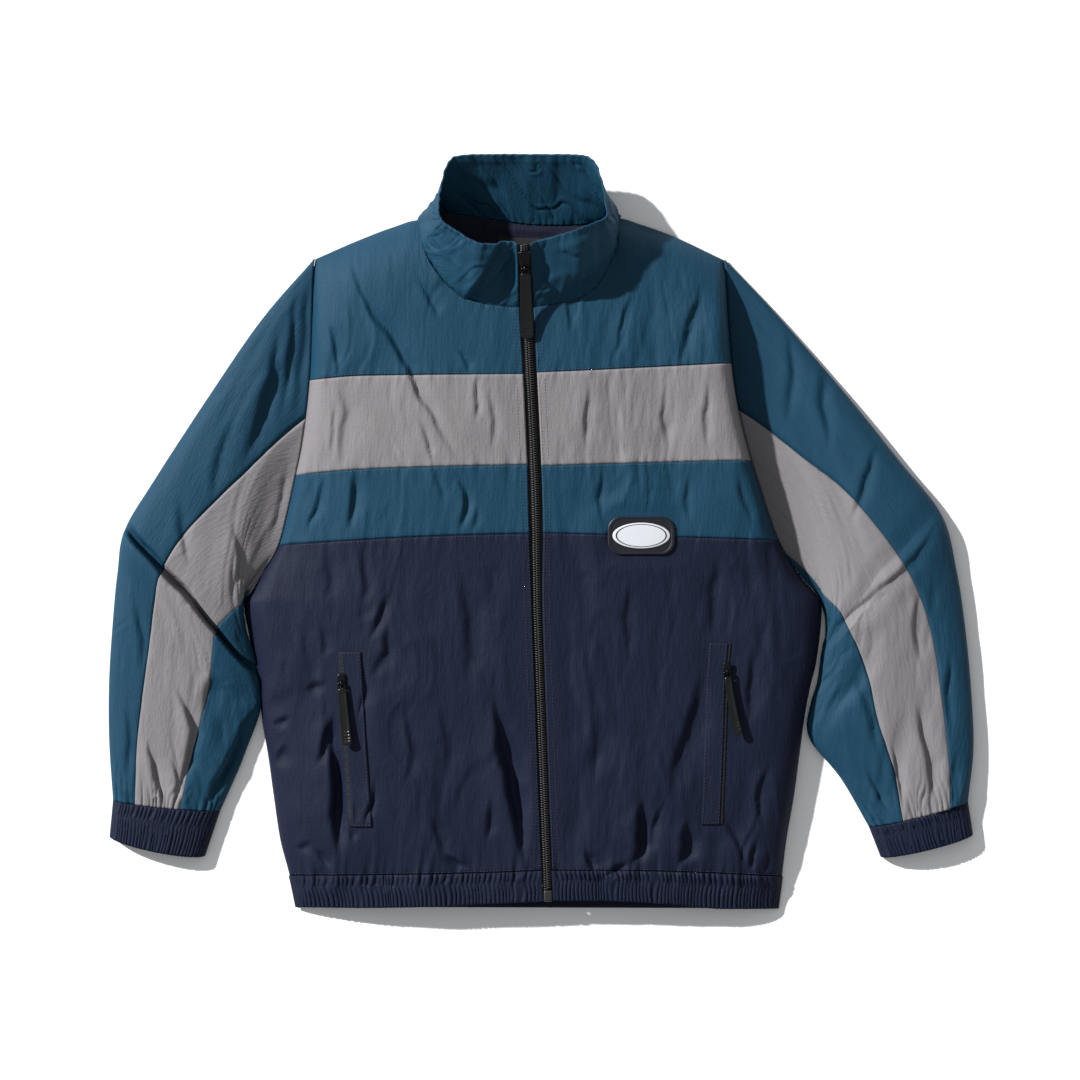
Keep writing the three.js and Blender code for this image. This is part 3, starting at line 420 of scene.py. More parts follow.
def tapeCloth(name, colour):
    # Tape: fine straight ribs that repeat along it, and uneven threads
    made = Finish(name, **{"Specular IOR Level": 0.3})
    ribs = made.lines("UV", 0.0012, 0.5, 1)
    thread = made.noise("UV", (1800, 500, 1), 1.0)
    colour = made.blend(thread * 0.6 + ribs * 0.4, shade(*colour, 0.6), shade(*colour, 1.5))
    return made.finishWith(colour, thread * 0.15 + 0.62, ribs * 0.6 + thread * 0.4, 0.5, 0.3)


finishes = {name: nylon(name) for name in nylonLook}
finishes["tape"] = tapeCloth("zipTape", (15, 16, 18))
finishes["label"] = tapeCloth("wovenLabel", (20, 19, 24))
finishes["teeth"] = plain("mouldedTeeth", (31, 30, 29), 0.38, 0.0, 0.2)
finishes["metal"] = plain("darkMetal", (34, 34, 37), 0.28, 0.9, 0.12)
finishes["rubber"] = plain("blackRubber", (5, 5, 6), 0.3, 0.0, 0.15, 1400, **{"Specular IOR Level": 0.42})
finishes["rim"] = plain("badgeRim", (9, 12, 22), 0.42, 0.0, 0.25, 1400)
finishes["tealThread"] = plain("tealThread", (28, 64, 84), 0.6, 0.0, 0.3, 2500)
finishes["navyThread"] = plain("navyThread", (24, 29, 48), 0.6, 0.0, 0.3, 2500)
finishes["greyThread"] = plain("greyThread", (124, 118, 120), 0.6, 0.0, 0.3, 2500)
print("materials ready")


# Fronts

sides = {
    "right": {
        "sign": -1, "armpit": -74, "shoulder": 288.2, "neck": 0.508, "seed": 11,
        "edge": [(-394.8, -257.8), (-361.7, -264.6), (-322.9, -274.6), (-280.9, -280.9), (-238.9, -286.7),
                 (-196.9, -293.5), (-154.9, -298.2), (-112.9, -306.1), (-74, -312.4), (-60.4, -303.3),
                 (-36.2, -288.6), (-13.1, -275.8), (24.7, -265.5), (60.4, -257.7), (87.7, -252),
                 (120.2, -247.3), (157, -243.4), (178, -241.9), (221, -240.6), (276.7, -239),
                 (288.2, -237.3)],
        "hemEdge": [-394.8, -394.9, -393.8, -390.6, -388],
        "hem": [-361.7, -360.7, -359.6, -358.1, -355.4],
        "navy": [-13.1, -8.9, -5.2, -2.6, -1.1],
        "greyLow": [60.4, 65.8, 68.2, 69.8, 70.9],
        "greyUp": [160.1, 164.3, 165, 165.4, 165.9],
        "top": [(0, 288.2), (0.227, 309.2), (0.384, 321.8), (0.508, 329.2), (0.532, 302.9),
                (0.613, 270.4), (0.723, 248.3), (0.847, 238.9), (1, 235.7)],
        "collar": [(-107.1, 334.4, 67), (-103.5, 326, 71.5), (-95.5, 319, 75.5), (-85, 312, 79.5),
                   (-73, 306, 82.5), (-58, 301.8, 84), (-40, 300.2, 85), (-24.6, 299.8, 85)],
    },
    "left": {
        "sign": 1, "armpit": -78.2, "shoulder": 287.2, "neck": 0.537, "seed": 47,
        "edge": [(-396.4, 250.4), (-362.4, 254.6), (-328.1, 258.8), (-274.6, 267.8), (-223.1, 274.6),
                 (-194.8, 278.5), (-165.4, 284), (-133.9, 291.3), (-78.2, 296.6), (-44.6, 272.5),
                 (-23.6, 259.4), (-7.9, 250.6), (15.2, 241.5), (49.9, 230.3), (76.1, 221.9),
                 (116, 211.4), (144.4, 205.8), (180.1, 201.1), (231.5, 197.4), (264.1, 195.8),
                 (287.2, 193.4)],
        "hemEdge": [-396.4, -395.9, -390.6, -387.4, -386.9],
        "hem": [-362.4, -359.1, -356.5, -355.4, -355.4],
        "navy": [-8.4, -6.1, -4.2, -2.1, -0.5],
        "greyLow": [75.7, 74.5, 73, 71.4, 69.8],
        "greyUp": [177.5, 174.8, 172.2, 169.6, 167.5],
        "top": [(0, 287.2), (0.276, 313.4), (0.4375, 325), (0.537, 330.8), (0.558, 301.9),
                (0.615, 275.6), (0.651, 263), (0.771, 246.2), (0.953, 237.8), (1, 236.8)],
        "collar": [(70.9, 331, 70), (67.5, 327.5, 72), (60.4, 324, 75), (50, 321, 78.5), (42, 318.8, 80.5),
                   (27, 314, 82.5), (8, 306.5, 84), (-10, 299.8, 85)],
    },
}

frontPanels = {
    "lower_front": {"between": ("hem", "navy"), "finish": "navy", "slot": "navy_cloth",
                    "flat": (0.3, 0.365), "share": 0.93},
    "mid_band": {"between": ("navy", "greyLow"), "finish": "teal", "slot": "teal_cloth",
                 "flat": (0.262, 0.081), "share": 0.9},
    "chest_band": {"between": ("greyLow", "greyUp"), "finish": "grey", "slot": "grey_cloth",
                   "flat": (0.25, 0.104), "share": 0.88},
    "yoke": {"between": ("greyUp", "top"), "finish": "teal", "slot": "teal_cloth",
             "flat": (0.235, 0.16), "share": 0.72},
}

crownLine = [(-400, 25), (-360, 29), (-280, 36), (-180, 41), (-70, 43), (30, 45), (140, 46), (236, 45),
             (340, 42)]
zipMiddle = [(-388, 8), (-150, -0.8), (-70.9, -3.5), (15.2, -4.7), (200, -12.6), (236.8, -14.7), (299.8, -17.3)]
zipOpen = [(-388, 5.2), (-150, 5.2), (-70.9, 5.4), (15.2, 7.3), (299.8, 7.3)]

# Creases of the fronts: depth, width and the line they follow
frontCreases = [
   
    (4.0, 7.0, [(-205, 292), (-197, 276), (-186, 250), (-174, 225), (-159, 199), (-142, 172), (-129, 140), (-116, 121), (-101, 96), (-82, 68)]),
    (1.5, 4, [(-186, -125), (-187, -161), (-193, -199)]), (2.0, 4, [(-131, 117), (-120, 94), (-113, 73)]),
    (2.6, 5, [(-226, 225), (-220, 200), (-212, 162)]),
    (2.4, 10, [(-216, 160), (-207, 128), (-209, 85), (-212, 66)]),
    (1.6, 4, [(-221, 139), (-218, 108), (-221, 74)]), (2.4, 4.5, [(-230, 59), (-237, 35), (-245, -2)]),
    (3.8, 7, [(-197, 68), (-200, 39), (-203, 1)]), (1.6, 4, [(-112, 68), (-109, 47), (-104, 29)]),
    (3.0, 5, [(-88, 62), (-81, 31), (-85, -1)]), (1.6, 4, [(-67, 31), (-70, 2)]),
    (1.5, 4, [(-72, 165), (-67, 138), (-70, 114)]), (2.2, 7, [(-129, 265), (-121, 248), (-110, 223)]),
    (1.6, 4, [(-87, 192), (-77, 166)]), (1.6, 7, [(-228, -14), (-223, -48), (-226, -75)]),
    (2.0, 7, [(-188, -9), (-187, -56), (-193, -81)]), (3.0, 5.5, [(-160, -58), (-169, -87), (-181, -114)]),
    (2.4, 13, [(-88, -35), (-79, -92), (-78, -129), (-83, -165)]),
    (9.5, 10, [(-52, -165), (-44, -218), (-34, -262), (-27, -302), (-20, -350)]),
    (2.4, 5, [(-51, -276), (-56, -302), (-58, -325)]), (4.4, 7, [(-220, -188), (-228, -216), (-239, -248)]),
    (9.5, 11, [(-225, -199), (-221, -230), (-217, -265), (-218, -300), (-212, -342)]),
    (2.6, 4.5, [(-178, -260), (-181, -287), (-183, -310)]), (2.2, 4, [(-197, -281), (-193, -311)]),
    (2.6, 7, [(-158, -92), (-164, -125), (-178, -153)]), (2.0, 5, [(-228, -97), (-226, -132)]),
    (2.4, 6, [(-249, -165), (-236, -159), (-223, -160)]), (2.6, 5, [(-286, -201), (-265, -191)]),
    (2.8, 6, [(-269, -220), (-277, -233), (-284, -247)]), (2.4, 5, [(-256, -331), (-239, -324)]),
    (2.6, 5, [(-237, -332), (-229, -344), (-221, -355)]), (2.4, 5, [(-201, -300), (-197, -328)]),
    (3.2, 5, [(-102, -337), (-90, -342), (-76, -351)]), (2.0, 6, [(-115, -297), (-109, -321), (-102, -341)]),
    (1.8, 8, [(-145, -176), (-137, -223), (-143, -270)]), (1.6, 10, [(-106, -176), (-99, -220), (-104, -260)]),
    (7.5, 9, [(104, -279), (103, -310), (100, -333), (91, -348)]),
    (3.4, 6, [(46, -333), (52, -346), (58, -360)]), (2.8, 5, [(65, -360), (77, -350), (92, -344)]),
    (6, 9, [(154, -304), (150, -326), (143, -350)]),
    (3.4, 14, [(167, -142), (155, -197), (142, -239), (129, -281)]),
    (2.0, 5, [(128, -281), (117, -312), (115, -335)]), (2.4, 5, [(191, -297), (202, -323), (212, -354)]),
    (2.6, 5, [(228, -321), (221, -340), (218, -359)]), (2.2, 5, [(242, -333), (236, -359)]),
    (2.2, 12, [(55, -188), (58, -223), (53, -262)]), (2.2, 7, [(226, -113), (218, -165), (220, -207)]),
    (2.2, 6, [(237, -239), (228, -281), (233, -312)]), (1.8, 8, [(94, -45), (86, -92), (92, -139)]),
    (1.8, 9, [(184, -18), (176, -62), (184, -113)]), (3.0, 9, [(170, 265), (153, 221), (144, 173)]),
    (1.9, 6, [(98, 253), (81, 213), (75, 179)]), (1.8, 6, [(32, 284), (27, 244), (34, 202)]),
    (2.0, 5, [(176, 160), (170, 127), (174, 85)]), (1.8, 5, [(134, 158), (128, 118), (133, 80)]),
    (1.6, 5, [(50, 160), (44, 120), (48, 82)]), (2.0, 5, [(203, 61), (212, 36), (222, 5)]),
    (1.6, 5, [(65, 66), (58, 38), (62, 7)]), (1.7, 5, [(157, 66), (151, 34), (154, 7)]),
    (1.6, 5, [(-54, 156), (-49, 120), (-53, 85)]),
]

pockets = {
    "right": {"line": [(-309.2, -198.6), (-247.3, -202.8), (-125.5, -210.2)], "welt": 19, "hinge": -158,
              "wide": 11, "long": 66, "bow": 1, "turn": 0.02},
    "left": {"line": [(-306.6, 189.5), (-221, 192.9), (-150.2, 195.2), (-116, 197.9)], "welt": -18,
             "hinge": -146, "wide": 9, "long": 68, "bow": 5, "turn": 0.15},
}
badge = {"x": 105.5, "y": -3.3, "wide": 70, "high": 39.5, "corner": 13.5, "ovalWide": 60, "ovalHigh": 27}


def seamLine(side, seam, u):
    if seam == "top":
        return throughPoints(side["top"], u)
    return throughPoints(list(zip(np.linspace(0, 1, 5), side[seam])), u)


def edgeX(side, y):
    return throughPoints(side["edge"], y)


def zipEdge(side, y):
    return throughPoints(zipMiddle, y) + side["sign"] * throughPoints(zipOpen, y)


def edgeHeight(side, y):
    # 3 at the side seam, up to the valley's height half way along the armhole
    f = np.clip((side["shoulder"] - y) / (side["shoulder"] - side["armpit"]), 0, 1)
    return mix(3, valley["height"], smoothStep(0, 0.3, f) * (1 - smoothStep(0.65, 1, f)))


def shoulderShare(side, u, y):
    # 1 - exp(-d / 18), with d the distance below the shoulder line
    line = throughPoints(side["top"], np.minimum(u, side["neck"])) + 30 * np.maximum(0, u - side["neck"])
    return 1 - np.exp(-np.maximum(0, line - y) / 18)


def besideRows(value, rows, reach):
    # Closeness to the nearest of several levels: exp(-(d / reach)^2)
    near = 0
    for level in rows:
        near = np.maximum(near, np.exp(-((value - level) / reach) ** 2))
    return near


# How much sooner a front rises beside its armhole and its side seam
puff = {"right": (0.28, 0.18), "left": (0.78, 0.42)}
valley = {"height": 9, "right": (42, 0.6), "left": (95, 0.8)}   # armhole's height; reach and share of the sleeve's dip


def earlyRise(sideName, u, y):
    # A (1 - e^(-d/4)) (1 - d/115)^1.3, with d the distance in from the edge and A the side's own amount
    side = sides[sideName]
    hole, seam = puff[sideName]
    f = np.clip((side["shoulder"] - y) / (side["shoulder"] - side["armpit"]), 0, 1)
    amount = mix(seam, hole, smoothStep(0, 0.25, f) * (1 - smoothStep(0.6, 1, f)))
    amount = amount * smoothStep(-402, -330, y)
    d = u * 285
    return amount * (1 - np.exp(-d / 4)) * np.maximum(0, 1 - d / 115) ** 1.3


puckers = {"height": 0.75, "reach": 13, "ditch": 0.45}


def frontRelief(sideName, u, y, x):
    # Creases and crumples, calmer by the zip, pocket and badge, and small puckers beside each seam
    side = sides[sideName]
    inward = (u * abs(side["edge"][0][1]) + 2)
    sideCalm = smoothStep(2, 22, inward)
    toZip = (1 - u) * 260
    calm = sideCalm * (0.2 + 0.8 * smoothStep(8, 34, toZip))
    pocket = pockets[sideName]
    lineX = throughPoints(pocket["line"], y)
    low, high = pocket["line"][0][0], pocket["line"][-1][0]
    offPocket = np.hypot((x - lineX) * np.where(np.sign(x - lineX) == np.sign(pocket["welt"]), 0.5, 1.0),
                         np.maximum(0, np.maximum(low - y, y - high)))
    calm = calm * (0.12 + 0.88 * smoothStep(3, 20, offPocket))
    still = sideCalm * smoothStep(3, 15, toZip) * (0.3 + 0.7 * smoothStep(2, 11, offPocket))
    if sideName == "left":
        offBadge = np.hypot(np.maximum(0, abs(x - badge["x"]) - badge["wide"] / 2),
                            np.maximum(0, abs(y - badge["y"]) - badge["high"] / 2))
        calm = calm * smoothStep(1, 18, offBadge)
        still = still * smoothStep(1, 10, offBadge)
    waves = crumple(x, y, side["seed"])
    relief = creaseHeight(frontCreases, x, y) * still + waves * calm
    for k, seam in enumerate(("hem", "navy", "greyLow", "greyUp", "top")):
        off = y - seamLine(side, seam, u)
        more = 1.9 if seam == "hem" else 1.0
        reach = puckers["reach"] * more * (0.5 + 0.9 * smoothStep(-0.6, 0.8, softNoise(x / 19, 0 * y + k, side["seed"] + 31)))
        slant = x + 0.22 * off * softNoise(x / 60, y / 200, side["seed"] + 33)
        pulls = softNoise(slant / 6.5, off / 60, side["seed"] + 40 + k) + 0.6 * softNoise(slant / 3.4, off / 40, side["seed"] + 50 + k)
        relief = relief + puckers["height"] * more * pulls * np.exp(-abs(off) / reach) * sideCalm
        relief = relief - puckers["ditch"] * np.exp(-(off / 1.5) ** 2) * sideCalm
    return relief


def frontForm(sideName, u, y, relief=True):
    # x runs straight from the outer edge to the zip; z rises from the edge's height to the crown
    # as (1 - (1 - u)^3.5)^0.77 and falls off at the shoulder line
    side = sides[sideName]
    u, y = np.broadcast_arrays(np.asarray(u, float), np.asarray(y, float))
    x = mix(edgeX(side, y), zipEdge(side, y), u)
    edge = edgeHeight(side, y)
    rise = (1 - (1 - u) ** 3.5) ** 0.77 + earlyRise(sideName, u, y)
    height = (throughPoints(crownLine, y) - edge) * rise
    if relief:
        height = height + frontRelief(sideName, u, y, x)
    return np.stack([x, y, edge + height * shoulderShare(side, u, y)], -1)


def onFront(sideName, x, y, lift, relief=True):
    # The point over a place seen from above, lifted along the cloth's own direction
    side = sides[sideName]
    x, y = np.broadcast_arrays(np.asarray(x, float), np.asarray(y, float))

    def at(px, py):
        edge = edgeX(side, py)
        return frontForm(sideName, np.clip((px - edge) / (zipEdge(side, py) - edge), 0, 1), py, relief)

    normal = unit(np.cross(at(x + 1, y) - at(x - 1, y), at(x, y + 1) - at(x, y - 1)))
    return at(x, y) + normal * np.asarray(lift, float)[..., None]


def buildFronts():
    half = cloth["seamGap"] / 2
    for sideName, side in sides.items():
        for name, panel in frontPanels.items():
            low, high = panel["between"]
            across = np.concatenate([[0, 0.004, 0.01], np.linspace(0.018, 1, 116)])
            across = np.unique(np.append(across, [side["neck"], side["neck"] + 0.004]))
            bottom = seamLine(side, low, across) + half
            top = seamLine(side, high, across) - (0 if high == "top" else half)
            rows = int(np.ceil((top - bottom).max() / cloth["grid"])) + 1
            share = np.linspace(0, 1, rows)[:, None]
            outer = frontForm(sideName, np.broadcast_to(across, (rows, len(across))), mix(bottom, top, share))
            piece = clothShell(f"{sideName}_{name}_cloth", outer, finishes[panel["finish"]],
                               flip=-side["sign"], lowest=cloth["lowest"], flatCloth=True,
                               stands=[f"{sideName}_{name}"], slot=panel["slot"])


hemBand = {"waves": 60, "height": 1.15, "stitchAt": 0.34, "gather": 1.15}


def elasticWaves(place, v, waves, seed):
    # Two zones: slanting gathers above the stitch line, upright waves below it, uneven in size
    drift = softNoise(place * 17, v * 0.4, seed)
    uneven = 0.72 + 0.4 * softNoise(place * waves * 0.7, v * 1.5 + 3, seed + 1)
    line = hemBand["stitchAt"]
    upper = np.sin(2 * math.pi * (place * waves * 0.8 + 0.55 * v / line + 0.9 * drift))
    lower = np.sin(2 * math.pi * (place * waves + 0.9 * drift + 0.12 * np.sin(7 * v)))
    zone = smoothStep(line - 0.05, line + 0.05, v)
    swell = np.where(v < line, np.sin(math.pi * np.clip(v / line, 0, 1)) ** 0.6,
                     np.sin(math.pi * np.clip(0.5 * (v - line) / (1 - line) + 0.02, 0, 0.5)) ** 0.5)
    return uneven * swell * mix(hemBand["gather"] * upper, lower, zone)


def buildHems():
    half = cloth["seamGap"] / 2
    for sideName, side in sides.items():
        across = np.linspace(0, 1, 330)
        share = np.linspace(0, 1, 20)[:, None]
        y = mix(seamLine(side, "hem", across) - half, seamLine(side, "hemEdge", across), share)
        u = np.broadcast_to(across, y.shape)
        outer = frontForm(sideName, u, y, relief=False)
        calm = smoothStep(0, 0.06, u) * smoothStep(0, 0.04, 1 - u)
        broad = frontRelief(sideName, u, y, outer[..., 0]) * mix(1, 0.4, smoothStep(0.1, 0.7, share))
        waves = hemBand["height"] * elasticWaves(u, share + 0 * u, hemBand["waves"], side["seed"] + 60)
        outer[..., 2] += waves * calm + broad
        piece = clothShell(f"{sideName}_hem_cloth", outer, finishes["navy"], flip=-side["sign"],
                           lowest=cloth["lowest"], stands=[f"{sideName}_hem"], slot="navy_cloth")


buildFronts()
buildHems()
print("fronts and hem bands made")


# Sleeves and cuffs

# Rows from the armhole to the cuff: outer fold x, y, underarm x, y, height, the stripe's two
# seams as shares of the width (near the fold, near the underarm) and the bow to the cuff.
sleeveRows = {
    "right": [
        (-237.3, 288.2, -312.4, -74, 16, 0.464, 0.962, 0), (-293.5, 223.1, -313.5, -90, 20, 0.486, 0.92, 0),
        (-351.2, 139.1, -310.9, -106.6, 24, 0.407, 0.873, 0), (-405.8, 55.1, -306.2, -125.5, 27, 0.318, 0.785, 0),
        (-437.3, 2.1, -302, -142.3, 28, 0.295, 0.716, 0), (-444.7, -41.5, -299.3, -163.3, 24, 0.27, 0.69, 0),
        (-449.4, -89.8, -299.3, -188.5, 23, 0.26, 0.675, 0), (-453.6, -154.9, -313.4, -234.7, 23, 0.25, 0.67, 0),
        (-453.6, -217.9, -327.1, -267.2, 21, 0.23, 0.655, 1), (-449.5, -281.9, -338.6, -292.4, 19, 0.21, 0.64, 3)],
    "left": [
        (193.4, 287.2, 296.6, -78.2, 16, 0.434, 0.85, 0), (253.6, 223.1, 300.4, -94, 20, 0.447, 0.89, 0),
        (326, 139.1, 301.4, -109.7, 24, 0.37, 0.85, 0), (376.4, 76.1, 300.8, -120.2, 27, 0.34, 0.81, 0),
        (421.6, 18.4, 299.2, -129.6, 28, 0.336, 0.8, 0), (437.3, -39.4, 295.4, -157, 25, 0.26, 0.72, 0),
        (446.8, -102.4, 287.6, -184.3, 23, 0.205, 0.635, 0), (453.1, -170.6, 284.2, -215.8, 23, 0.18, 0.58, 0),
        (455.2, -228.4, 317.6, -258.8, 21, 0.19, 0.61, 2), (449.4, -283, 347, -309.2, 19, 0.18, 0.66, 4)],
}
cuffEnds = {
    "right": (-453.1, -320.2, -354.4, -339.7, 17, 7),
    "left": (454.8, -318.2, 359.6, -341.2, 17, 5),
}
# Elbow's fold: height of the lower arm's rolled edge, drop behind it, widths of the slope down,
# of slope and floor and of the way back up, and how far the fold sinks at the underarm, in rows
elbow = {"right": (6, 20, 6, 13, 2.5, 0.55), "left": (1.2, 2.2, 12, 12, 20, 0)}

sleeveCreases = [
    (4.6, 8, [(-243, 278), (-247, 246), (-250, 217), (-254, 186), (-258, 150), (-263, 120)]),
    (3.2, 6, [(-257, 257), (-263, 213), (-269, 160), (-278, 118)]),
    (4.4, 9, [(-279, 213), (-286, 162), (-300, 114), (-313, 68)]),
    (2.4, 7, [(-318, 131), (-340, 80), (-352, 30)]), (2.2, 6, [(-267, 81), (-275, 34), (-284, -8)]),
    (2.4, 7, [(-384, 40), (-380, 1), (-372, -34)]), (2.4, 7, [(-324, 13), (-316, -29), (-324, -71)]),
    (5.0, 6.5, [(-387, -161), (-374, -184), (-365, -208), (-371, -240), (-387, -281)]),
    (4.0, 6, [(-416, -216), (-411, -241), (-408, -260), (-398, -293)]),
    (2.6, 5, [(-391, -237), (-385, -260), (-389, -287)]),
    (4.8, 6, [(-296, -178), (-312, -204), (-328, -230), (-343, -260), (-356, -296)]),
    (2.6, 5, [(-318, -216), (-334, -249), (-351, -287)]), (2.4, 6, [(-430, -70), (-418, -110), (-424, -150)]),
    (2.2, 8, [(-340, -130), (-352, -170), (-355, -209)]), (2.2, 5, [(-439, -270), (-433, -289), (-435, -304)]),
    (1.9, 6, [(-440, -180), (-434, -220), (-436, -262)]),
    (2.6, 10, [(422, 18), (389, -25), (368, -47), (323, -90), (300, -108)]),
    (3.8, 8, [(394, -176), (400, -214), (407, -240), (409, -288)]),
    (2.6, 7, [(300, 190), (296, 140), (300, 85)]), (2.2, 7, [(262, 220), (262, 170), (254, 110)]),
    (2.4, 7, [(352, 96), (338, 56), (326, 12)]), (2.8, 7, [(330, -150), (344, -190), (352, -232)]),
    (2.2, 6, [(432, -120), (424, -170), (430, -214)]), (3.0, 6, [(366, -220), (372, -256), (380, -292)]),
    (2.6, 5, [(342, -249), (350, -272), (361, -296)]), (1.8, 6, [(436, -230), (430, -262), (434, -287)]),
    (2.0, 7, [(400, -60), (392, -100), (396, -140)]),
]


def rowCurve(rows, s):
    # Catmull-Rom curve through each column, with s counted in rows
    rows = np.array(rows, float)
    padded = np.vstack([2 * rows[0] - rows[1], rows, 2 * rows[-1] - rows[-2]])
    i = np.clip(np.floor(s).astype(int), 0, len(rows) - 2)
    t = (s - i)[..., None]
    a, b, c, d = (padded[i + k] for k in range(4))
    return b + 0.5 * t * (c - a + t * (2 * a - 5 * b + 4 * c - d + t * (3 * (b - c) + d - a)))


def tubePoint(section, q):
    # q goes over the top from the underarm (0) to the outer fold (1) and back underneath (2).
    # The top stands 3 at the folds and rises as sin^0.6 to sin^0.9 to the section's height.
    f = (1 + np.cos(math.pi * q)) / 2
    sine = abs(np.sin(math.pi * q))
    outX, outY, inX, inY, z, bow = section
    over = 3 + (z - 3) * sine ** mix(0.6, 0.9, smoothStep(0.2, 0.7, f))
    under = 3 * np.maximum(0, 1 - (sine / 0.35) ** 2)
    return np.stack([mix(outX, inX, f), mix(outY, inY, f) - bow * sine, np.where(q <= 1, over, under)], -1)


def sleevePoint(sideName, s, q, relief=True):
    # The flattened tube, with its first row bent to the armhole and the elbow's fold laid over it
    side = sides[sideName]
    row = rowCurve(sleeveRows[sideName], s)
    columns = [row[..., k] for k in (0, 1, 2, 3, 4, 7)]
    point = tubePoint(columns, q)
    f = (1 + np.cos(math.pi * q)) / 2
    nearArmpit = smoothStep(0.86, 0.97, f)
    fade = np.maximum(0, 1 - s / mix(1.3, 0.3, nearArmpit)) ** 2
    start = sleeveRows[sideName][0]
    holeY = mix(side["shoulder"], side["armpit"], f)
    point[..., 0] += (edgeX(side, holeY) - mix(start[0], start[2], f)) * fade
    point[..., 0] += side["sign"] * 1.6 * nearArmpit * (1 - smoothStep(0.8, 2, s))
    point[..., 1] += (holeY - mix(start[1], start[3], f)) * fade
    point[..., 0] -= side["sign"] * 2.6 * smoothStep(0.9, 1, f) * smoothStep(2, 3, s) * (1 - smoothStep(6, 7, s))
    ridge, drop, slope, floor, back, sink = elbow[sideName]
    behind = (4.06 + sink * f * f - s + 0.05 * np.sin(9 * f) + 0.02 * np.sin(23 * f)) * mix(55, 19, f)
    fall = np.clip(behind / slope, 0, 1) * (1 - smoothStep(floor, floor + back, behind))
    fold = ridge * np.exp(-(behind / 24) ** 2) * (behind < floor) * (1 - fall) - drop * fall
    reach, depth = valley[sideName]
    dip = 1 - depth * np.exp(-(s * 64 / reach) ** 2)
    over = np.where(q < 1, np.maximum(0, np.sin(math.pi * q)), 0)
    detail = 0
    if relief:
        x, y = point[..., 0], point[..., 1]
        wide = np.hypot(columns[0] - columns[2], columns[1] - columns[3])
        detail = creaseHeight(sleeveCreases, x, y) + crumple(f * wide, s * 52, side["seed"] + 90)
        gathers = np.sin(2 * math.pi * (f * 17 + 1.4 * softNoise(f * 9, s, side["seed"] + 93)))
        detail = detail + 1.3 * gathers * smoothStep(8.0, 9.0, s) * (0.5 + 0.5 * softNoise(f * 12, s, 5))
        detail = detail + 0.8 * gathers * (1 - smoothStep(0, 0.5, s)) * softNoise(f * 14, s, 7)
        for seam in (row[..., 5], row[..., 6]):
            detail = detail - 0.6 * np.exp(-((f - seam) * wide / 1.6) ** 2)
    lift = np.minimum(1, 2 * s + 0.15) * np.minimum(1, 1.6 * over ** 0.7)
    point[..., 2] = np.where(q < 1, 3 + (point[..., 2] - 3) * dip, point[..., 2])
    point[..., 2] += fold * over ** 0.7 * np.minimum(1, 2 * s) + detail * lift
    return point


def loopPlace(f):
    return np.arccos(np.clip(2 * f - 1, -1, 1)) / math.pi


def offArmhole(sideName, q):
    # A step of one seam gap away from the armhole, a cloth's thickness more at its two ends
    side = sides[sideName]
    f = (1 + np.cos(math.pi * q)) / 2
    low, high = (mix(side["shoulder"], side["armpit"], np.clip(f + k, 0, 1)) for k in (0.02, -0.02))
    along = np.stack([edgeX(side, low) - edgeX(side, high), low - high], -1)
    step = unit(np.stack([-along[..., 1], along[..., 0]], -1)) * side["sign"]
    reach = 0.25 + 0.3 * (1 - smoothStep(0, 0.06, np.minimum(f, 1 - f)))
    return np.concatenate([step * reach[..., None], np.zeros((*q.shape, 1))], -1)


sleevePieces = {
    "sleeve_inner": {"finish": "teal", "slot": "teal_cloth", "columns": 34, "flat": (0.085, 0.33), "share": 0.5},
    "sleeve_stripe": {"finish": "grey", "slot": "grey_cloth", "columns": 46, "flat": (0.13, 0.45), "share": 0.55},
    "sleeve_outer": {"finish": "teal", "slot": "teal_cloth", "columns": 76, "flat": (0.34, 0.55), "share": 0.6},
}


def sleeveColumns(sideName, name, s, t):
    # Loop places of one piece, half a seam gap inside its seams, the gap wider near the armhole
    row = rowCurve(sleeveRows[sideName], s)
    slant = 1 + 2.5 * (1 - smoothStep(0, 1.5, s))
    half = slant * cloth["seamGap"] / 2 / np.hypot(row[..., 0] - row[..., 2], row[..., 1] - row[..., 3])
    near, far = row[..., 5], row[..., 6]
    if name == "sleeve_inner":
        return mix(0.014, loopPlace(far + half), t)
    if name == "sleeve_stripe":
        return mix(loopPlace(far - half), loopPlace(near + half), t)
    return mix(loopPlace(near - half), 1.982, t)


def buildSleeves():
    for sideName, side in sides.items():
        along = np.concatenate([np.linspace(0, 3, 64)[:-1], np.linspace(3, 5.4, 76)[:-1], np.linspace(5.4, 9, 92)])
        for name, piece in sleevePieces.items():
            t = np.linspace(0, 1, piece["columns"])
            if name == "sleeve_outer":
                t = np.concatenate([np.linspace(0, 0.6, 54)[:-1], np.linspace(0.6, 1, 18)])
            s, t = np.meshgrid(along, t, indexing="ij")
            q = sleeveColumns(sideName, name, s, t)
            outer = sleevePoint(sideName, s, q)
            outer[0] += offArmhole(sideName, q[:1])[0]
            made = clothShell(f"{sideName}_{name}_cloth", outer, finishes[piece["finish"]], flip=side["sign"],
                              stands=[f"{sideName}_{name}"], slot=piece["slot"])


def cuffPoint(sideName, v, q, waves=True):
    # The tube between the sleeve's last row and the cuff's edge, with elastic waves over its top
    start = np.array(sleeveRows[sideName][-1])[[0, 1, 2, 3, 4, 7]]
    end = np.array(cuffEnds[sideName])
    section = [mix(start[k], end[k], v) for k in range(6)]
    point = tubePoint(section, q)
    if waves:
        over = np.where(q < 1, np.maximum(0, np.sin(math.pi * q)), 0)
        place = (1 + np.cos(math.pi * np.minimum(q, 1))) / 2
        point[..., 2] += 0.95 * elasticWaves(place, v, 30, sides[sideName]["seed"] + 120) * np.minimum(1, 1.8 * over)
    return point


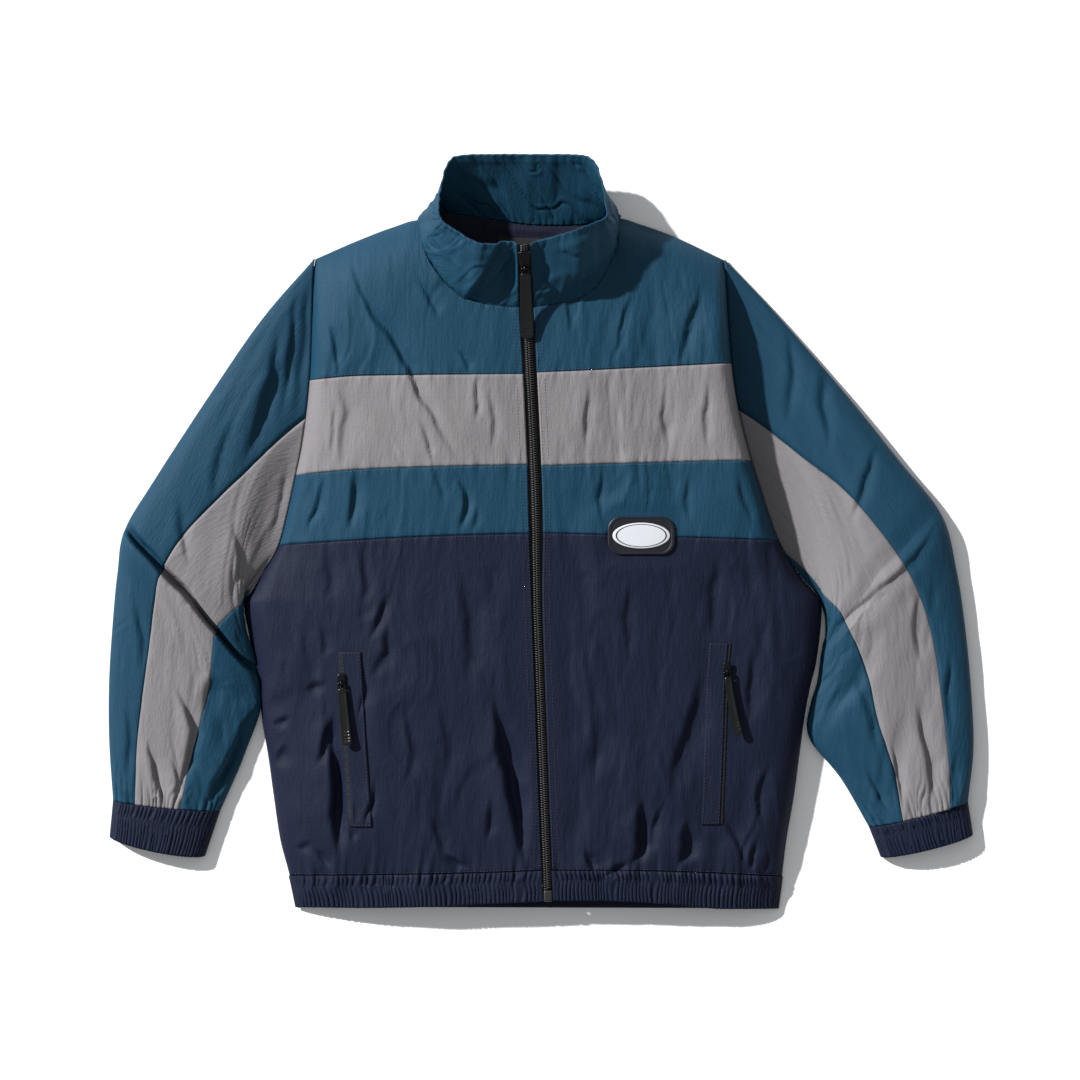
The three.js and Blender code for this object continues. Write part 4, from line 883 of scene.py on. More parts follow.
def buildCuffs():
    for sideName, side in sides.items():
        q = np.concatenate([np.linspace(0, 1, 190)[:-1], np.linspace(1, 1.94, 30)])
        v, q = np.meshgrid(np.linspace(0.008, 1, 22), q, indexing="ij")
        outer = cuffPoint(sideName, v, q)
        ringed = np.concatenate([outer[:, -1:], outer, outer[:, :1]], 1)
        inner = outer - side["sign"] * cloth["wall"] * gridNormals(ringed)[:, 1:-1]
        piece = clothShell(f"{sideName}_cuff_cloth", outer, finishes["navy"], inner=inner, closed=True,
                           stands=[f"{sideName}_cuff"], slot="navy_cloth")


buildSleeves()
buildCuffs()
print("sleeves and cuffs made")


# Back, collar and the inside of the neck

collarBack = np.array([
    (-122, 336.5, 2.2, -106.5, 346, 63), (-108, 338.5, 2, -104, 362, 56), (-88, 337.5, 1.8, -99.5, 382, 47),
    (-66, 335, 1.6, -90, 394.5, 41), (-40, 331, 1.6, -62, 396.9, 38), (-10, 327.5, 1.6, -22, 396.9, 37),
    (20, 326.5, 1.6, 22, 396.9, 37.5), (44, 327.5, 1.6, 46, 395.5, 40), (62, 329.5, 1.8, 59, 386, 46),
    (76, 333, 2, 64.5, 368, 55), (84, 335, 2.2, 68.5, 348, 63)])

backCreases = [
    (0.7, 12, [(-180, 240), (-130, 150), (-110, 60)]), (0.6, 10, [(150, 230), (110, 140), (120, 40)]),
    (0.8, 12, [(-190, -120), (-170, -220), (-180, -330)]), (0.7, 11, [(170, -110), (150, -230), (160, -330)]),
    (0.6, 10, [(-40, -60), (-30, -180), (-50, -300)]), (0.6, 10, [(60, 200), (40, 120), (50, 30)]),
]


def backSheet(name, low, high, finish, slotName, waves=0):
    # A sheet on the floor between the side edges; shallow hollows lift its face and never lower it
    right, left = sides["right"], sides["left"]
    columns = 130 if waves else 90
    t = np.linspace(0, 1, columns)
    ends = [(side[low][0], side[high][0] if high != "top" else side["shoulder"]) for side in (right, left)]
    half = cloth["seamGap"] / 2
    lows = [e[0] + (half if low != "hemEdge" else 0) for e in ends]
    highs = [e[1] - (half if high != "top" else 0) for e in ends]
    rows = max(14, int((highs[0] - lows[0]) / 4.5))
    v = np.linspace(0, 1, rows)[:, None]
    x = mix(edgeX(right, mix(lows[0], highs[0], v)), edgeX(left, mix(lows[1], highs[1], v)), t)
    bottom = mix(lows[0], lows[1], t)
    top = mix(highs[0], highs[1], t)
    if high == "top":
        necks = [frontForm(n, sides[n]["neck"], seamLine(sides[n], "top", sides[n]["neck"]), False)
                 for n in ("right", "left")]
        outline = [(right["edge"][-1][1], right["shoulder"]), tuple(necks[0][:2]), *map(tuple, collarBack[1:-1, :2]),
                   tuple(necks[1][:2]), (left["edge"][-1][1], left["shoulder"])]
        top = np.interp(mix(outline[0][0], outline[-1][0], t), *np.array(outline).T)
    y = mix(bottom, top, v)
    rim = np.minimum(smoothStep(0, 0.08, np.minimum(t, 1 - t)), smoothStep(0, 0.06, np.minimum(v, 1 - v)))
    lift = np.maximum(0, -creaseHeight(backCreases, x, y)) + 0.25 * (1 + crumple(x, y, 71) / 2)
    if waves:
        lift = 0.3 * (1 + elasticWaves(np.broadcast_to(t, x.shape), 1 - v + 0 * t, waves, 75))
    lift = np.clip(lift, 0, 0.9) * rim
    under = np.stack([x, y, lift], -1)
    upper = under + np.array([0, 0, cloth["wall"]])
    piece = clothShell(name + "_cloth", upper, finishes[finish], inner=under, stands=[name], slot=slotName)


def collarStations():
    # Foot and top of the collar from the right front edge round the neck to the left one
    stations = []
    for sideName in ("right", "left"):
        side = sides[sideName]
        u = np.concatenate([side["neck"] + np.array([0, 0.025, 0.07, 0.13]), [0.71, 0.79, 0.89, 1]])
        foot = frontForm(sideName, u, np.interp(u, *np.array(side["top"]).T) + cloth["seamGap"], False)
        stations.append(np.hstack([foot, side["collar"]]))
    return np.vstack([stations[0][::-1], collarBack, stations[1]])


collarLook = {"columns": 280, "rows": 42, "belly": 2.4, "wrinkle": 1.9, "tuck": 2.0}


# Bulges and hollows of the collar's two front parts, by the distance from the zip
collarFall = {
    "right": [(-8, -2), (0, -5), (5, -10), (14, -8), (30, 0), (43, 6), (58, 2.5), (80, 0), (400, 0)],
    "left": [(0, -3), (6, -4), (24, 1.5), (44, 8), (52, 9), (64, 5), (82, 0), (400, 0)],
}


def collarSurface(share, v):
    # Smooth lines through the feet and the tops, joined straight
    stations = collarStations()
    middle = (stations[:, :3] + stations[:, 3:]) / 2
    length = np.concatenate([[0], np.cumsum(np.linalg.norm(np.diff(middle, axis=0), axis=1))])
    place = share * length[-1]
    line = [throughPoints(np.stack([length, stations[:, k]], -1), place) for k in range(6)]
    foot, top = np.stack(line[:3], -1), np.stack(line[3:], -1)
    return mix(foot, top, v[..., None]), place, length[-1]


def buildCollar():
    share = np.linspace(0, 1, collarLook["columns"])
    v, share = np.meshgrid(np.linspace(0, 1, collarLook["rows"]), share, indexing="ij")
    form, place, total = collarSurface(share, v - collarLook["tuck"] / 62 * (1 - v))
    ends = smoothStep(0, 5, np.minimum(place, total - place))
    edge = smoothStep(0, 0.1, v) * (1 - 0.75 * smoothStep(0.9, 1, v))
    folds = softNoise(place / 24, v * 1.6, 131) + 0.6 * softNoise(place / 9, v * 2.2, 132)
    slants = np.exp(-(softNoise(place / 30 + 1.5 * v, v * 1.2, 133) / 0.16) ** 2)
    puckerWaves = np.sin(2 * math.pi * (place / 8.5 + softNoise(place / 30, v, 134)))
    thin = softNoise(place / 16 + 2.2 * v, v * 2.0, 135) / 0.13
    lift = collarLook["belly"] * np.sin(math.pi * v) * 0.5
    lift = lift + edge * collarLook["wrinkle"] * (0.8 * folds + 0.7 * slants + 1.1 * thin * np.exp(-thin * thin))
    upper = smoothStep(0.06, 0.45, v) * (1 - 0.45 * smoothStep(0.8, 1, v))
    lift = lift + upper * throughPoints(collarFall["right"], place + mix(-8, 0, smoothStep(0, 0.6, v)))
    lift = lift + upper * throughPoints(collarFall["left"], total - place)
    lift = lift + 2.2 * np.exp(-((place - 52 + 26 * v) / 6) ** 2) - 2.2 * np.exp(-((place - 44 + 26 * v) / 5) ** 2)
    lift = lift + 0.5 * puckerWaves * (np.exp(-v * 75 / 8) + np.exp(-(1 - v) * 75 / 7))
    lift = lift - 0.5 * np.exp(-((1 - v) * 75 / 7 - 1) ** 2 * 6)
    normal = gridNormals(form)
    outer = form - normal * (lift * ends)[..., None]
    sign = -1
    piece = clothShell("collar_cloth", outer, finishes["teal"], wall=cloth["collarWall"], flip=sign,
                       stands=["collar"], slot="teal_cloth")
    return outer, normal


def buildNeckInside():
    # Lining between its lower edge and the neckline, with soft hollows and the label's place
    t = np.linspace(0, 1, 90)
    neckline = collarBack[:, :2] * [0.97, 1] - [0, 4]
    x = mix(neckline[0, 0], neckline[-1, 0], t)
    top = np.interp(x, neckline[:, 0], neckline[:, 1])
    lower = mix(-112, 74, t)
    v = np.linspace(0, 1, 36)[:, None]
    px, py = mix(lower, x, v), mix(262, top, v)
    rim = np.minimum(smoothStep(0, 0.12, np.minimum(t, 1 - t)), smoothStep(0, 0.12, np.minimum(v, 1 - v)))
    calm = 1 - 0.85 * np.exp(-((px + 5) / 52) ** 4 - ((py - 298) / 20) ** 4)
    rise = np.clip(1.1 + 1.2 * softNoise(px / 26, py / 18, 141) + 0.6 * softNoise(px / 9, py / 12, 142), 0, 3)
    under = np.stack([px, py, 1.5 + 0.02 + rise * rim * calm], -1)
    upper = under + np.array([0, 0, cloth["wall"]])
    piece = clothShell("neck_lining_cloth", upper, finishes["lining"], inner=under, stands=["neck_lining"],
                       slot="lining")
    corners = np.array([[(-46, 286), (36, 284)], [(-46, 311), (36, 309)]], float)
    s, w = np.meshgrid(np.linspace(0, 1, 60), np.linspace(0, 1, 20))
    flat = mix(mix(corners[0, 0], corners[0, 1], s[..., None]), mix(corners[1, 0], corners[1, 1], s[..., None]),
               w[..., None])
    sag = 3.05 + 0.35 * (1 + softNoise(s * 5, w * 2, 143)) * np.sin(math.pi * w) * np.sin(math.pi * s)
    lower = np.concatenate([flat, sag[..., None]], -1)
    made = clothShell("neck_label_cloth", lower + np.array([0, 0, 0.8]), finishes["label"], inner=lower,
                      stands=["neck_label"], slot="black_tape")


backSheet("back_lower", "hem", "navy", "navy", "navy_cloth")
backSheet("back_hem", "hemEdge", "hem", "navy", "navy_cloth", 90)
backSheet("back_upper", "navy", "top", "teal", "teal_cloth")
buildCollar()
buildNeckInside()
print("back, collar and neck made")


# Front zip

def zipFrame(count=400):
    # Middle line of the zip from the box to the collar's top, with its upward directions
    y = np.linspace(-375.5, 236, count)
    z = (frontForm("right", 1.0, y, False)[..., 2] + frontForm("left", 1.0, y, False)[..., 2]) / 2
    torso = np.stack([throughPoints(zipMiddle, y), y, z], -1)
    head = np.array([-17.3, 299.5, 85.0])
    neck = mix(torso[-1], head, np.linspace(0, 1, 60)[1:, None])
    path = np.vstack([torso, neck])
    ahead = unit(np.gradient(path, axis=0))
    up = unit(np.stack([0 * ahead[:, 0], -ahead[:, 2], ahead[:, 1]], -1))
    return path, ahead, up


zipTape = {"high": -2.0, "low": -2.8, "tuck": 2.5}
teeth = {"pitch": 2.5, "long": 1.55, "reach": 3.9, "over": 0.75, "top": 1.15, "bottom": -1.2}


def buildZip():
    path, ahead, up = zipFrame()
    y = path[:, 1]
    for sideName, side in sides.items():
        sign = side["sign"]
        opening = throughPoints(zipOpen, y)
        reach = np.where(y < 225, opening + zipTape["tuck"], opening - 1.2)
        share = np.linspace(0, 1, 8)
        offset = sign * mix(0.15, reach[:, None], share)
        grid = path[:, None] + offset[..., None] * np.array([1.0, 0, 0])
        grids = [grid + up[:, None] * zipTape[k] for k in ("high", "low")]
        clothShell(f"{sideName}_zip_tape_cloth", grids[0], finishes["tape"], inner=grids[1],
                   stands=[f"{sideName}_zip_tape"], slot="black_tape")
        # a tooth: foot on the tape, waist and a head that reaches over the middle
        far, near = sign * teeth["reach"], -sign * teeth["over"]
        ring = [(far, 1.0), (mix(far, near, 0.45), 0.72), (mix(far, near, 0.8), 1.0), (near, 0.55)]
        half = teeth["long"] / 2
        shape = []
        for x, wide in ring:
            for yy, z in ((-half * wide, -0.9), (half * wide, -0.9), (0.8 * half * wide, 0.95), (-0.8 * half * wide, 0.95)):
                shape.append((x, yy, z * teeth["top"] * (0.9 if x in (far, near) else 1)))
        shape = np.array(shape)
        body = gridQuads(4, 4, closed=True)
        faces = np.vstack([body, [[0, 3, 2, 1], [12, 13, 14, 15]]])
        if sign > 0:
            faces = faces[:, ::-1]
        at, along = evenPlaces(np.hstack([path, up]), teeth["pitch"], 0 if sign < 0 else teeth["pitch"] / 2)
        along = unit(along[:, :3])
        lift = unit(at[:, 3:])
        points, made = copiesAlong(at[:, :3], along, lift, shape, faces)
        addPiece(f"{sideName}_zip_teeth_row", points, outward(points, made), finishes["teeth"],
                 stands=[f"{sideName}_zip_teeth"], slot="black_teeth")


def roundedLoop(wide, long, corner, count=12):
    # Rounded rectangle, anticlockwise from the right side
    turn = np.linspace(0, math.pi / 2, count)
    parts = []
    for k, (sx, sy) in enumerate(((1, 1), (-1, 1), (-1, -1), (1, -1))):
        a = turn + k * math.pi / 2
        parts.append(np.stack([sx * (wide / 2 - corner) + corner * np.cos(a),
                               sy * (long / 2 - corner) + corner * np.sin(a)], -1))
    return np.vstack(parts)


def lidFaces(n, start, flip=False):
    # Quads that close a ring of an even number of points straight across
    half = n // 2
    i = np.arange(half - 1)
    faces = np.stack([i, i + 1, n - 2 - i, n - 1 - i], -1) + start
    return faces[:, ::-1] if flip else faces


def turnedPlate(outline, levels):
    # Rings of one outline, each with its own size and height, closed at both ends
    rings = [np.column_stack([outline * size, np.full(len(outline), z)]) for size, z in levels]
    n = len(outline)
    faces = gridQuads(len(levels), n, closed=True)
    faces = np.vstack([faces, lidFaces(n, 0, True), lidFaces(n, n * (len(levels) - 1))])
    return np.vstack(rings), faces


def tubeAlong(path, radius, sides=10, flat=1.0):
    # Round bar along a path in the y-z plane, closed at both ends
    along = unit(np.gradient(path, axis=0))
    first = np.tile([1.0, 0, 0], (len(path), 1))
    second = unit(np.cross(along, first))
    a = np.linspace(0, 2 * math.pi, sides, endpoint=False)
    ring = first[:, None] * (np.cos(a) * radius)[None, :, None] + second[:, None] * (np.sin(a) * radius * flat)[None, :, None]
    points = (path[:, None] + ring).reshape(-1, 3)
    faces = gridQuads(len(path), sides, closed=True)
    faces = np.vstack([faces, lidFaces(sides, 0, True), lidFaces(sides, (len(path) - 1) * sides)])
    return points, faces


def joined(parts):
    points, faces, start = [], [], 0
    for some, corners in parts:
        points.append(some)
        faces.append(outward(some, corners) + start)
        start += len(some)
    return np.vstack(points), np.vstack(faces)


def setInFrame(points, origin, along, out, turn=0.0):
    # x across, y along the zip and z out of the cloth, turned about z
    z = unit(out)
    x = unit(np.cross(along, z))
    y = np.cross(z, x)
    c, s = math.cos(turn), math.sin(turn)
    turned = np.stack([c * points[:, 0] - s * points[:, 1], s * points[:, 0] + c * points[:, 1], points[:, 2]], -1)
    return origin + turned @ np.stack([x, y, z])


def sliderShape(wide, long, plate, arch, below):
    # Rounded top plate with a ridge, two side walls and a bridge for the pull's bar
    top = -(arch - 1.7) - 0.1
    outline = roundedLoop(wide, long, wide * 0.32)
    outline[:, 0] *= mix(0.78, 1.0, smoothStep(-long / 2, long / 2, outline[:, 1]))
    levels = [(0.9, top - plate), (1, top - plate * 0.75), (1, top - plate * 0.3), (0.93, top), (0.7, top + 0.12)]
    body, faces = turnedPlate(outline, levels)
    body[:, 1] += long / 2 - 3
    parts = [(body, faces)]
    for sign in (-1, 1):
        rail = roundedLoop(1.5, long * 0.94, 0.6, 4)
        side, corners = turnedPlate(rail, [(1, top - below), (1, top - plate * 0.5)])
        side[:, :2] += [sign * (wide / 2 - 0.8), long / 2 - 3]
        parts.append((side, corners))
    a = np.linspace(-0.15 * math.pi, 1.15 * math.pi, 26)
    middle = arch - 0.85
    bridge = np.stack([0 * a, middle * np.cos(a), middle * np.sin(a)], -1)
    points, corners = tubeAlong(bridge, 0.85, 12)
    points[:, 0] *= 1.35
    parts.append((points, corners))
    return joined(parts)


def pullShape(wide, thick, long, arc, bow):
    # Rubber strap: rounded sections along an arc, with a raised border, a groove round its face
    # and a few grip bars near the end
    rows, sides = 90, 28
    t = np.linspace(0, 1, rows)
    reach = mix(5.5, long, t)
    turn = arc * reach / long
    centre = np.stack([bow * (reach / long) ** 2, -reach * np.cos(turn / 2), reach * np.sin(turn / 2)], -1)
    end = np.sqrt(np.clip(1 - (np.maximum(0, t - 0.93) / 0.0701) ** 2, 0.02, 1))
    start = np.sqrt(np.clip(1 - (np.maximum(0, 0.04 - t) / 0.045) ** 2, 0.05, 1))
    half = mix(0.8, 1, t) * wide / 2 * end * start
    a = np.linspace(0, 2 * math.pi, sides, endpoint=False) + math.pi / sides
    across = np.sign(np.cos(a)) * abs(np.cos(a)) ** 0.55
    lift = np.sign(np.sin(a)) * abs(np.sin(a)) ** 0.55
    face = smoothStep(0.25, 0.6, np.sin(a))
    inner = np.clip(1 - abs(across) / 0.72, 0, 1)
    dish = smoothStep(0.0, 0.22, inner)[None] * face[None] * (smoothStep(0.05, 0.1, t) * (1 - smoothStep(0.9, 0.94, t)))[:, None]
    bars = smoothStep(0.2, 0.8, np.sin(2 * math.pi * reach / 3.4)) * smoothStep(0.74, 0.76, t) * (1 - smoothStep(0.9, 0.92, t))
    height = lift[None] * thick / 2 * np.maximum(end, 0.35)[:, None] - 0.8 * dish * (1 - 0.9 * bars[:, None])
    out = np.stack([0 * turn, np.sin(turn), np.cos(turn)], -1)
    points = centre[:, None] + across[None, :, None] * half[:, None, None] * np.array([1.0, 0, 0])
    points = points + out[:, None] * height[..., None]
    faces = gridQuads(rows, sides, closed=True)
    faces = np.vstack([faces, lidFaces(sides, 0, True), lidFaces(sides, (rows - 1) * sides)])
    return points.reshape(-1, 3), faces


def wireLoop(wide, long, radius):
    # Closed wire: a bar at the origin and two legs down into the strap
    outline = roundedLoop(wide, long, 1.3, 8)
    centre = np.column_stack([outline[:, 0], outline[:, 1] - long / 2, np.zeros(len(outline))])
    following, before = np.roll(centre, -1, axis=0), np.roll(centre, 1, axis=0)
    along = unit(following - before)
    side = np.cross(along, [0, 0, 1.0])
    a = np.linspace(0, 2 * math.pi, 10, endpoint=False)
    points = centre[:, None] + side[:, None] * (np.cos(a) * radius)[None, :, None] + np.array([0, 0, 1.0]) * (np.sin(a) * radius)[None, :, None]
    n = len(centre)
    ids = np.arange(n * 10).reshape(n, 10)
    ids = np.vstack([ids, ids[:1]])
    ids = np.hstack([ids, ids[:, :1]])
    faces = np.stack([ids[:-1, :-1], ids[:-1, 1:], ids[1:, 1:], ids[1:, :-1]], -1).reshape(-1, 4)
    return points.reshape(-1, 3), faces


mainPull = {"wide": 14, "thick": 2.8, "long": 77, "arc": 0.44, "bow": 0}
mainSlider = {"wide": 12, "long": 22, "plate": 1.8, "arch": 3.4, "below": 4.1}


def buildMainPull():
    path, ahead, up = zipFrame()
    head, foot = path[-1], path[-60]
    along = unit(head - foot)
    out = unit(np.array([0, -along[2], along[1]]))
    origin = mix(foot, head, (277.7 - foot[1]) / (head[1] - foot[1])) + out * 5.1
    points, faces = sliderShape(**mainSlider)
    addPiece("main_slider", setInFrame(points, origin, along, out), faces, finishes["metal"],
             stands=["zip_slider"], slot="dark_metal")
    strap, faces = joined([pullShape(**mainPull)])
    addPiece("main_pull", setInFrame(strap, origin, along, out), faces, finishes["rubber"],
             stands=["zip_pull"], body="main_tab", slot="black_rubber")
    wire, faces = joined([wireLoop(7.4, 9.5, 0.95)])
    addPiece("main_pull_wire", setInFrame(wire, origin, along, out), faces, finishes["metal"],
             body="main_tab", slot="dark_metal")
    box, faces = turnedPlate(roundedLoop(8.8, 12, 1.6, 6), [(0.86, -1.8), (1, -1.4), (1, 1.1), (0.9, 1.7), (0.55, 1.8)])
    foot = path[0] + [0.3, -6.4, -0.6]
    addPiece("zip_box_moulded", box + foot, outward(box, faces), finishes["teeth"], stands=["zip_box"],
             slot="black_teeth")


buildZip()
buildMainPull()
print("front zip made")


# Pockets and badge

pocketZip = {"lift": 1.0, "gap": 0.3}
pocketSlider = {"wide": 8, "long": 13, "plate": 1.4, "arch": 3, "below": 1.4}


def buildPocket(sideName):
    pocket, side = pockets[sideName], sides[sideName]
    low, high = pocket["line"][0][0], pocket["line"][-1][0]
    y = np.linspace(low, high, 120)[:, None]
    lineX = throughPoints(pocket["line"], y)
    inward = np.sign(pocket["welt"])

    def strip(name, offsets, bottom, top, finish, slotName, waves=0.0):
        lift = 0 * y + top - (waves and waves * abs(np.sin(math.pi * y / 1.3)))
        upper = onFront(sideName, lineX + offsets, y + 0 * offsets, lift + 0 * offsets)
        lower = onFront(sideName, lineX + offsets, y + 0 * offsets, 0 * lift + bottom + 0 * offsets)
        return clothShell(f"{sideName}_{name}_piece", upper, finishes[finish], inner=lower,
                          stands=[f"{sideName}_{name}"], slot=slotName)

    strip("pocket_zip", np.linspace(-1.7, 1.7, 9), 0.35, 1.0, "tape", "black_tape", 0.3)
    start = inward * 1.2
    strip("pocket_welt", np.linspace(start, pocket["welt"] + 2.6 * inward, 22), 0.35, 1.5, "navy", "navy_cloth")
    x = throughPoints(pocket["line"], pocket["hinge"])
    lift = pocketZip["lift"] + 1.6 + pocketZip["gap"] + pocketSlider["plate"] + pocketSlider["arch"] - 1.6
    origin = onFront(sideName, x, pocket["hinge"], lift, False)
    out = origin - onFront(sideName, x, pocket["hinge"], 0, False)
    ends = [onFront(sideName, throughPoints(pocket["line"], pocket["hinge"] + d), pocket["hinge"] + d, 0, False)
            for d in (20, -60)]
    along = ends[0] - ends[1]
    points, faces = sliderShape(**pocketSlider)
    addPiece(f"{sideName}_pocket_slider_cast", setInFrame(points, origin, along, out), faces, finishes["metal"],
             stands=[f"{sideName}_pocket_slider"], slot="dark_metal")
    strap, faces = joined([pullShape(pocket["wide"], 2.2, pocket["long"], 0.06, pocket["bow"])])
    body = f"{sideName}_pocket_tab"
    addPiece(f"{sideName}_pocket_pull_strap", setInFrame(strap, origin, along, out, pocket["turn"]), faces,
             finishes["rubber"], stands=[f"{sideName}_pocket_pull"], body=body, slot="black_rubber")
    wire, faces = joined([wireLoop(6.6, 8.5, 0.85)])
    addPiece(f"{sideName}_pocket_pull_wire", setInFrame(wire, origin, along, out, pocket["turn"]), faces,
             finishes["metal"], body=body, slot="dark_metal")


badgeFace = {"face": (198, 200, 205), "ring": (30, 32, 42)}


def badgeFinish():
    # Pale moulded face with a thin dark ring just inside its edge, drawn from the piece's own coordinates
    made = Finish("badgeFace", **{"Coat Weight": 0.2})
    parts = made.node("ShaderNodeSeparateXYZ", None, {"Vector": made.coordinates("UV", (1000 / 30, 1000 / 13.5, 1))})
    x, y = Field(made, parts.outputs[0]), Field(made, parts.outputs[1])
    radius = (x * x + y * y) ** 0.5
    ring = (radius > 0.84) * (radius < 0.895)
    grain = made.noise("Object", (700, 700, 700), 2.0)
    pale = made.blend(grain, shade(*badgeFace["face"], 0.94), shade(*badgeFace["face"], 1.05))
    colour = made.blend(ring, pale, shade(*badgeFace["ring"]))
    return made.finishWith(colour, grain * 0.15 + 0.3, grain * 0.3 + ring * -0.8, 0.25, 0.2)


def buildBadge():
    finishes["face"] = badgeFinish()

    def plateOver(name, outline, levels, finish, node, slotName):
        flat, faces = turnedPlate(outline, levels)
        points = onFront("left", badge["x"] + flat[:, 0], badge["y"] + flat[:, 1], flat[:, 2], False)
        return addPiece(name, points, outward(points, faces), finish, stands=[node], slot=slotName, uv=flat[:, :2])

    outline = roundedLoop(badge["wide"], badge["high"], badge["corner"], 18)
    rim = [(0.97, 0.7), (1, 0.9), (1, 1.9), (0.99, 2.3), (0.97, 2.5), (0.93, 2.5), (0.91, 2.3), (0.895, 1.95), (0.87, 1.9),
           (0.6, 1.9), (0.3, 1.9)]
    plateOver("badge_base_moulded", outline, rim, finishes["rim"], "badge_base", "badge_rim")
    a = np.linspace(0, 2 * math.pi, 96, endpoint=False)
    oval = np.stack([badge["ovalWide"] / 2 * np.cos(a), badge["ovalHigh"] / 2 * np.sin(a)], -1)
    dome = [(1, 2.2), (1, 2.75), (0.985, 2.95), (0.95, 3.1), (0.9, 3.18), (0.8, 3.24), (0.5, 3.3), (0.2, 3.3)]
    plateOver("badge_oval_moulded", oval, dome, finishes["face"], "badge_oval", "badge_face")


for sideName in sides:
    buildPocket(sideName)
buildBadge()
print("pockets and badge made")


# Stitches

stitch = {"pitch": 3.6, "long": 2.6, "radius": 0.3}


def stitchRow(paths, name, finish, slotName):
    # Small spindles end to end along each path, lying half in the cloth
    rings = [(-0.5, 0.45), (-0.2, 1.0), (0.2, 1.0), (0.5, 0.45)]
    shape = []
    for t, wide in rings:
        for a in (0.25, 0.75, 1.25, 1.75):
            shape.append((math.cos(a * math.pi) * wide * stitch["radius"] * 1.2, t * stitch["long"],
                          math.sin(a * math.pi) * wide * stitch["radius"]))
    shape = np.array(shape)
    faces = np.vstack([gridQuads(4, 4, closed=True), [[0, 3, 2, 1], [12, 13, 14, 15]]])
    allPoints, allFaces, start = [], [], 0
    for path, up in paths:
        at, along = evenPlaces(np.hstack([path, up]), stitch["pitch"])
        if not len(at):
            continue
        points, made = copiesAlong(at[:, :3], unit(along[:, :3]), unit(at[:, 3:]), shape, faces)
        allPoints.append(points)
        allFaces.append(made + start)
        start += len(points)
    points, faces = np.vstack(allPoints), np.vstack(allFaces)
    return addPiece(name, points, outward(points, faces), finish, slot=slotName)


def frontPath(sideName, x, y, lift=0.12):
    x, y = np.broadcast_arrays(np.asarray(x, float), np.asarray(y, float))
    at = onFront(sideName, x, y, 0 * x + lift)
    up = unit(onFront(sideName, x, y, 0 * x + 1) - onFront(sideName, x, y, 0 * x))
    return at, up


def seamPath(sideName, seam, offset, low=0.02, high=0.97):
    side = sides[sideName]
    u = np.linspace(low, high, 160)
    y = seamLine(side, seam, u) + offset
    x = mix(edgeX(side, y), zipEdge(side, y), u)
    return frontPath(sideName, x, y)


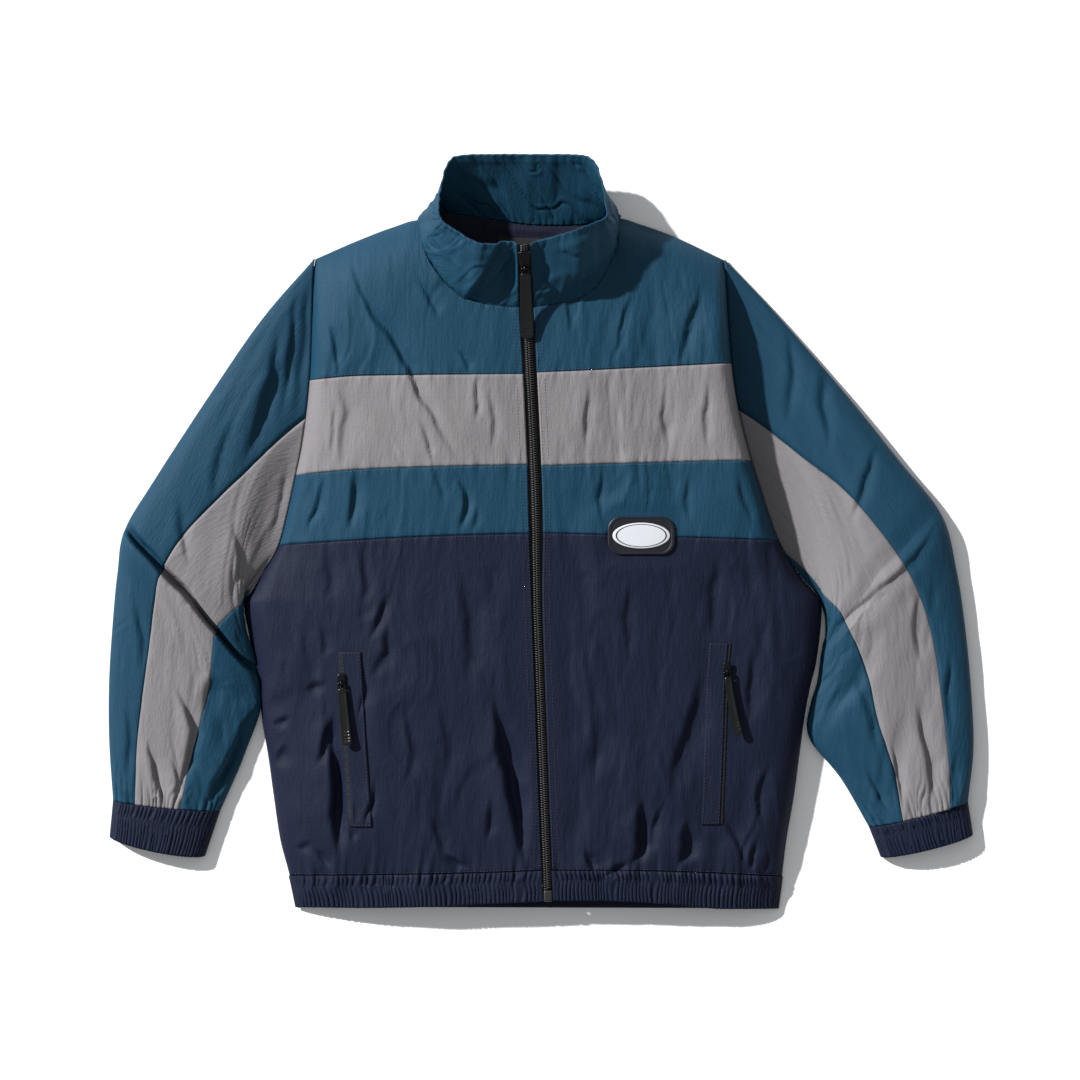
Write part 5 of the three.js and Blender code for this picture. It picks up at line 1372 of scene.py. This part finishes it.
def buildStitches():
    tealRows, navyRows, greyRows = [], [], []
    for sideName, side in sides.items():
        for rows, low, high in ((navyRows, -352, -4), (tealRows, 2, 68), (greyRows, 76, 162), (tealRows, 172, 232)):
            y = np.linspace(low, high, 200)
            for off in (1.6, 7.5):
                rows.append(frontPath(sideName, zipEdge(side, y) + side["sign"] * off, y))
        navyRows.append(seamPath(sideName, "navy", -1.9))
        tealRows.append(seamPath(sideName, "greyUp", 1.9))
        tealRows.append(seamPath(sideName, "greyLow", -1.9))
        navyRows.append(seamPath(sideName, "hem", 1.9))
        tealRows.append(seamPath(sideName, "top", -2.4, side["neck"] + 0.03, 0.97))
        pocket = pockets[sideName]
        low, high = pocket["line"][0][0], pocket["line"][-1][0]
        y = np.linspace(low, high, 120)
        lineX = throughPoints(pocket["line"], y)
        start = np.sign(pocket["welt"]) * 2.6
        for off in (start, start + pocket["welt"] - np.sign(start) * 1.6):
            navyRows.append(frontPath(sideName, lineX + off, y, 1.6))
        for level in (low + 1.5, high - 1.5):
            across = np.linspace(start + np.sign(start), start + pocket["welt"] - np.sign(start), 20)
            navyRows.append(frontPath(sideName, throughPoints(pocket["line"], level) + across, level + 0 * across, 1.6))
    stitchRow(tealRows, "teal_stitches", finishes["tealThread"], "teal_cloth")
    stitchRow(navyRows, "navy_stitches", finishes["navyThread"], "navy_cloth")
    stitchRow(greyRows, "grey_stitches", finishes["greyThread"], "grey_cloth")


buildStitches()
print("stitches made")


# Floor, light and camera

studio = {
    "floor": (250, 250, 250),
    "sun": 7.0, "sunAngle": 2.2, "sunWay": (0.71, -0.48, -0.5),
    "fill": 0.4,
    "lens": 200, "frameWide": 1.134, "middle": (-0.001, -0.0082), "height": 0.03,
}


def buildStudio():
    size = 8.0
    corners = np.array([(-size, -size), (size, -size), (size, size), (-size, size)])
    mesh = bpy.data.meshes.new("floor")
    mesh.from_pydata([(x, y, -0.0004) for x, y in corners], [], [(0, 1, 2, 3)])
    floor = bpy.data.objects.new("floor", mesh)
    bpy.context.scene.collection.objects.link(floor)
    made = Finish("paleFloor", Roughness=0.85, **{"Specular IOR Level": 0.1})
    tone = made.noise("Object", (3, 3, 3), 1.0)
    colour = made.blend(tone, shade(*studio["floor"], 0.99), shade(*studio["floor"]))
    mesh.materials.append(made.finishWith(colour))

    lamp = bpy.data.lights.new("studioLight", "SUN")
    lamp.energy = studio["sun"]
    lamp.angle = math.radians(studio["sunAngle"])
    lampObject = bpy.data.objects.new("studioLight", lamp)
    lampObject.rotation_euler = Vector(studio["sunWay"]).to_track_quat("-Z", "Y").to_euler()
    bpy.context.scene.collection.objects.link(lampObject)

    world = bpy.data.worlds.new("studioFill")
    world.use_nodes = True
    world.node_tree.nodes["Background"].inputs["Color"].default_value = (0.96, 0.98, 1.0, 1)
    world.node_tree.nodes["Background"].inputs["Strength"].default_value = studio["fill"]
    bpy.context.scene.world = world

    camera = bpy.data.cameras.new("camera")
    camera.lens = studio["lens"]
    camera.sensor_width = 36
    camera.clip_end = 60
    cameraObject = bpy.data.objects.new("camera", camera)
    away = studio["frameWide"] * studio["lens"] / 36
    cameraObject.location = (*studio["middle"], studio["height"] + away)
    bpy.context.scene.collection.objects.link(cameraObject)
    bpy.context.scene.camera = cameraObject
    bpy.context.scene.view_settings.view_transform = "Standard"


buildStudio()
print("studio made")
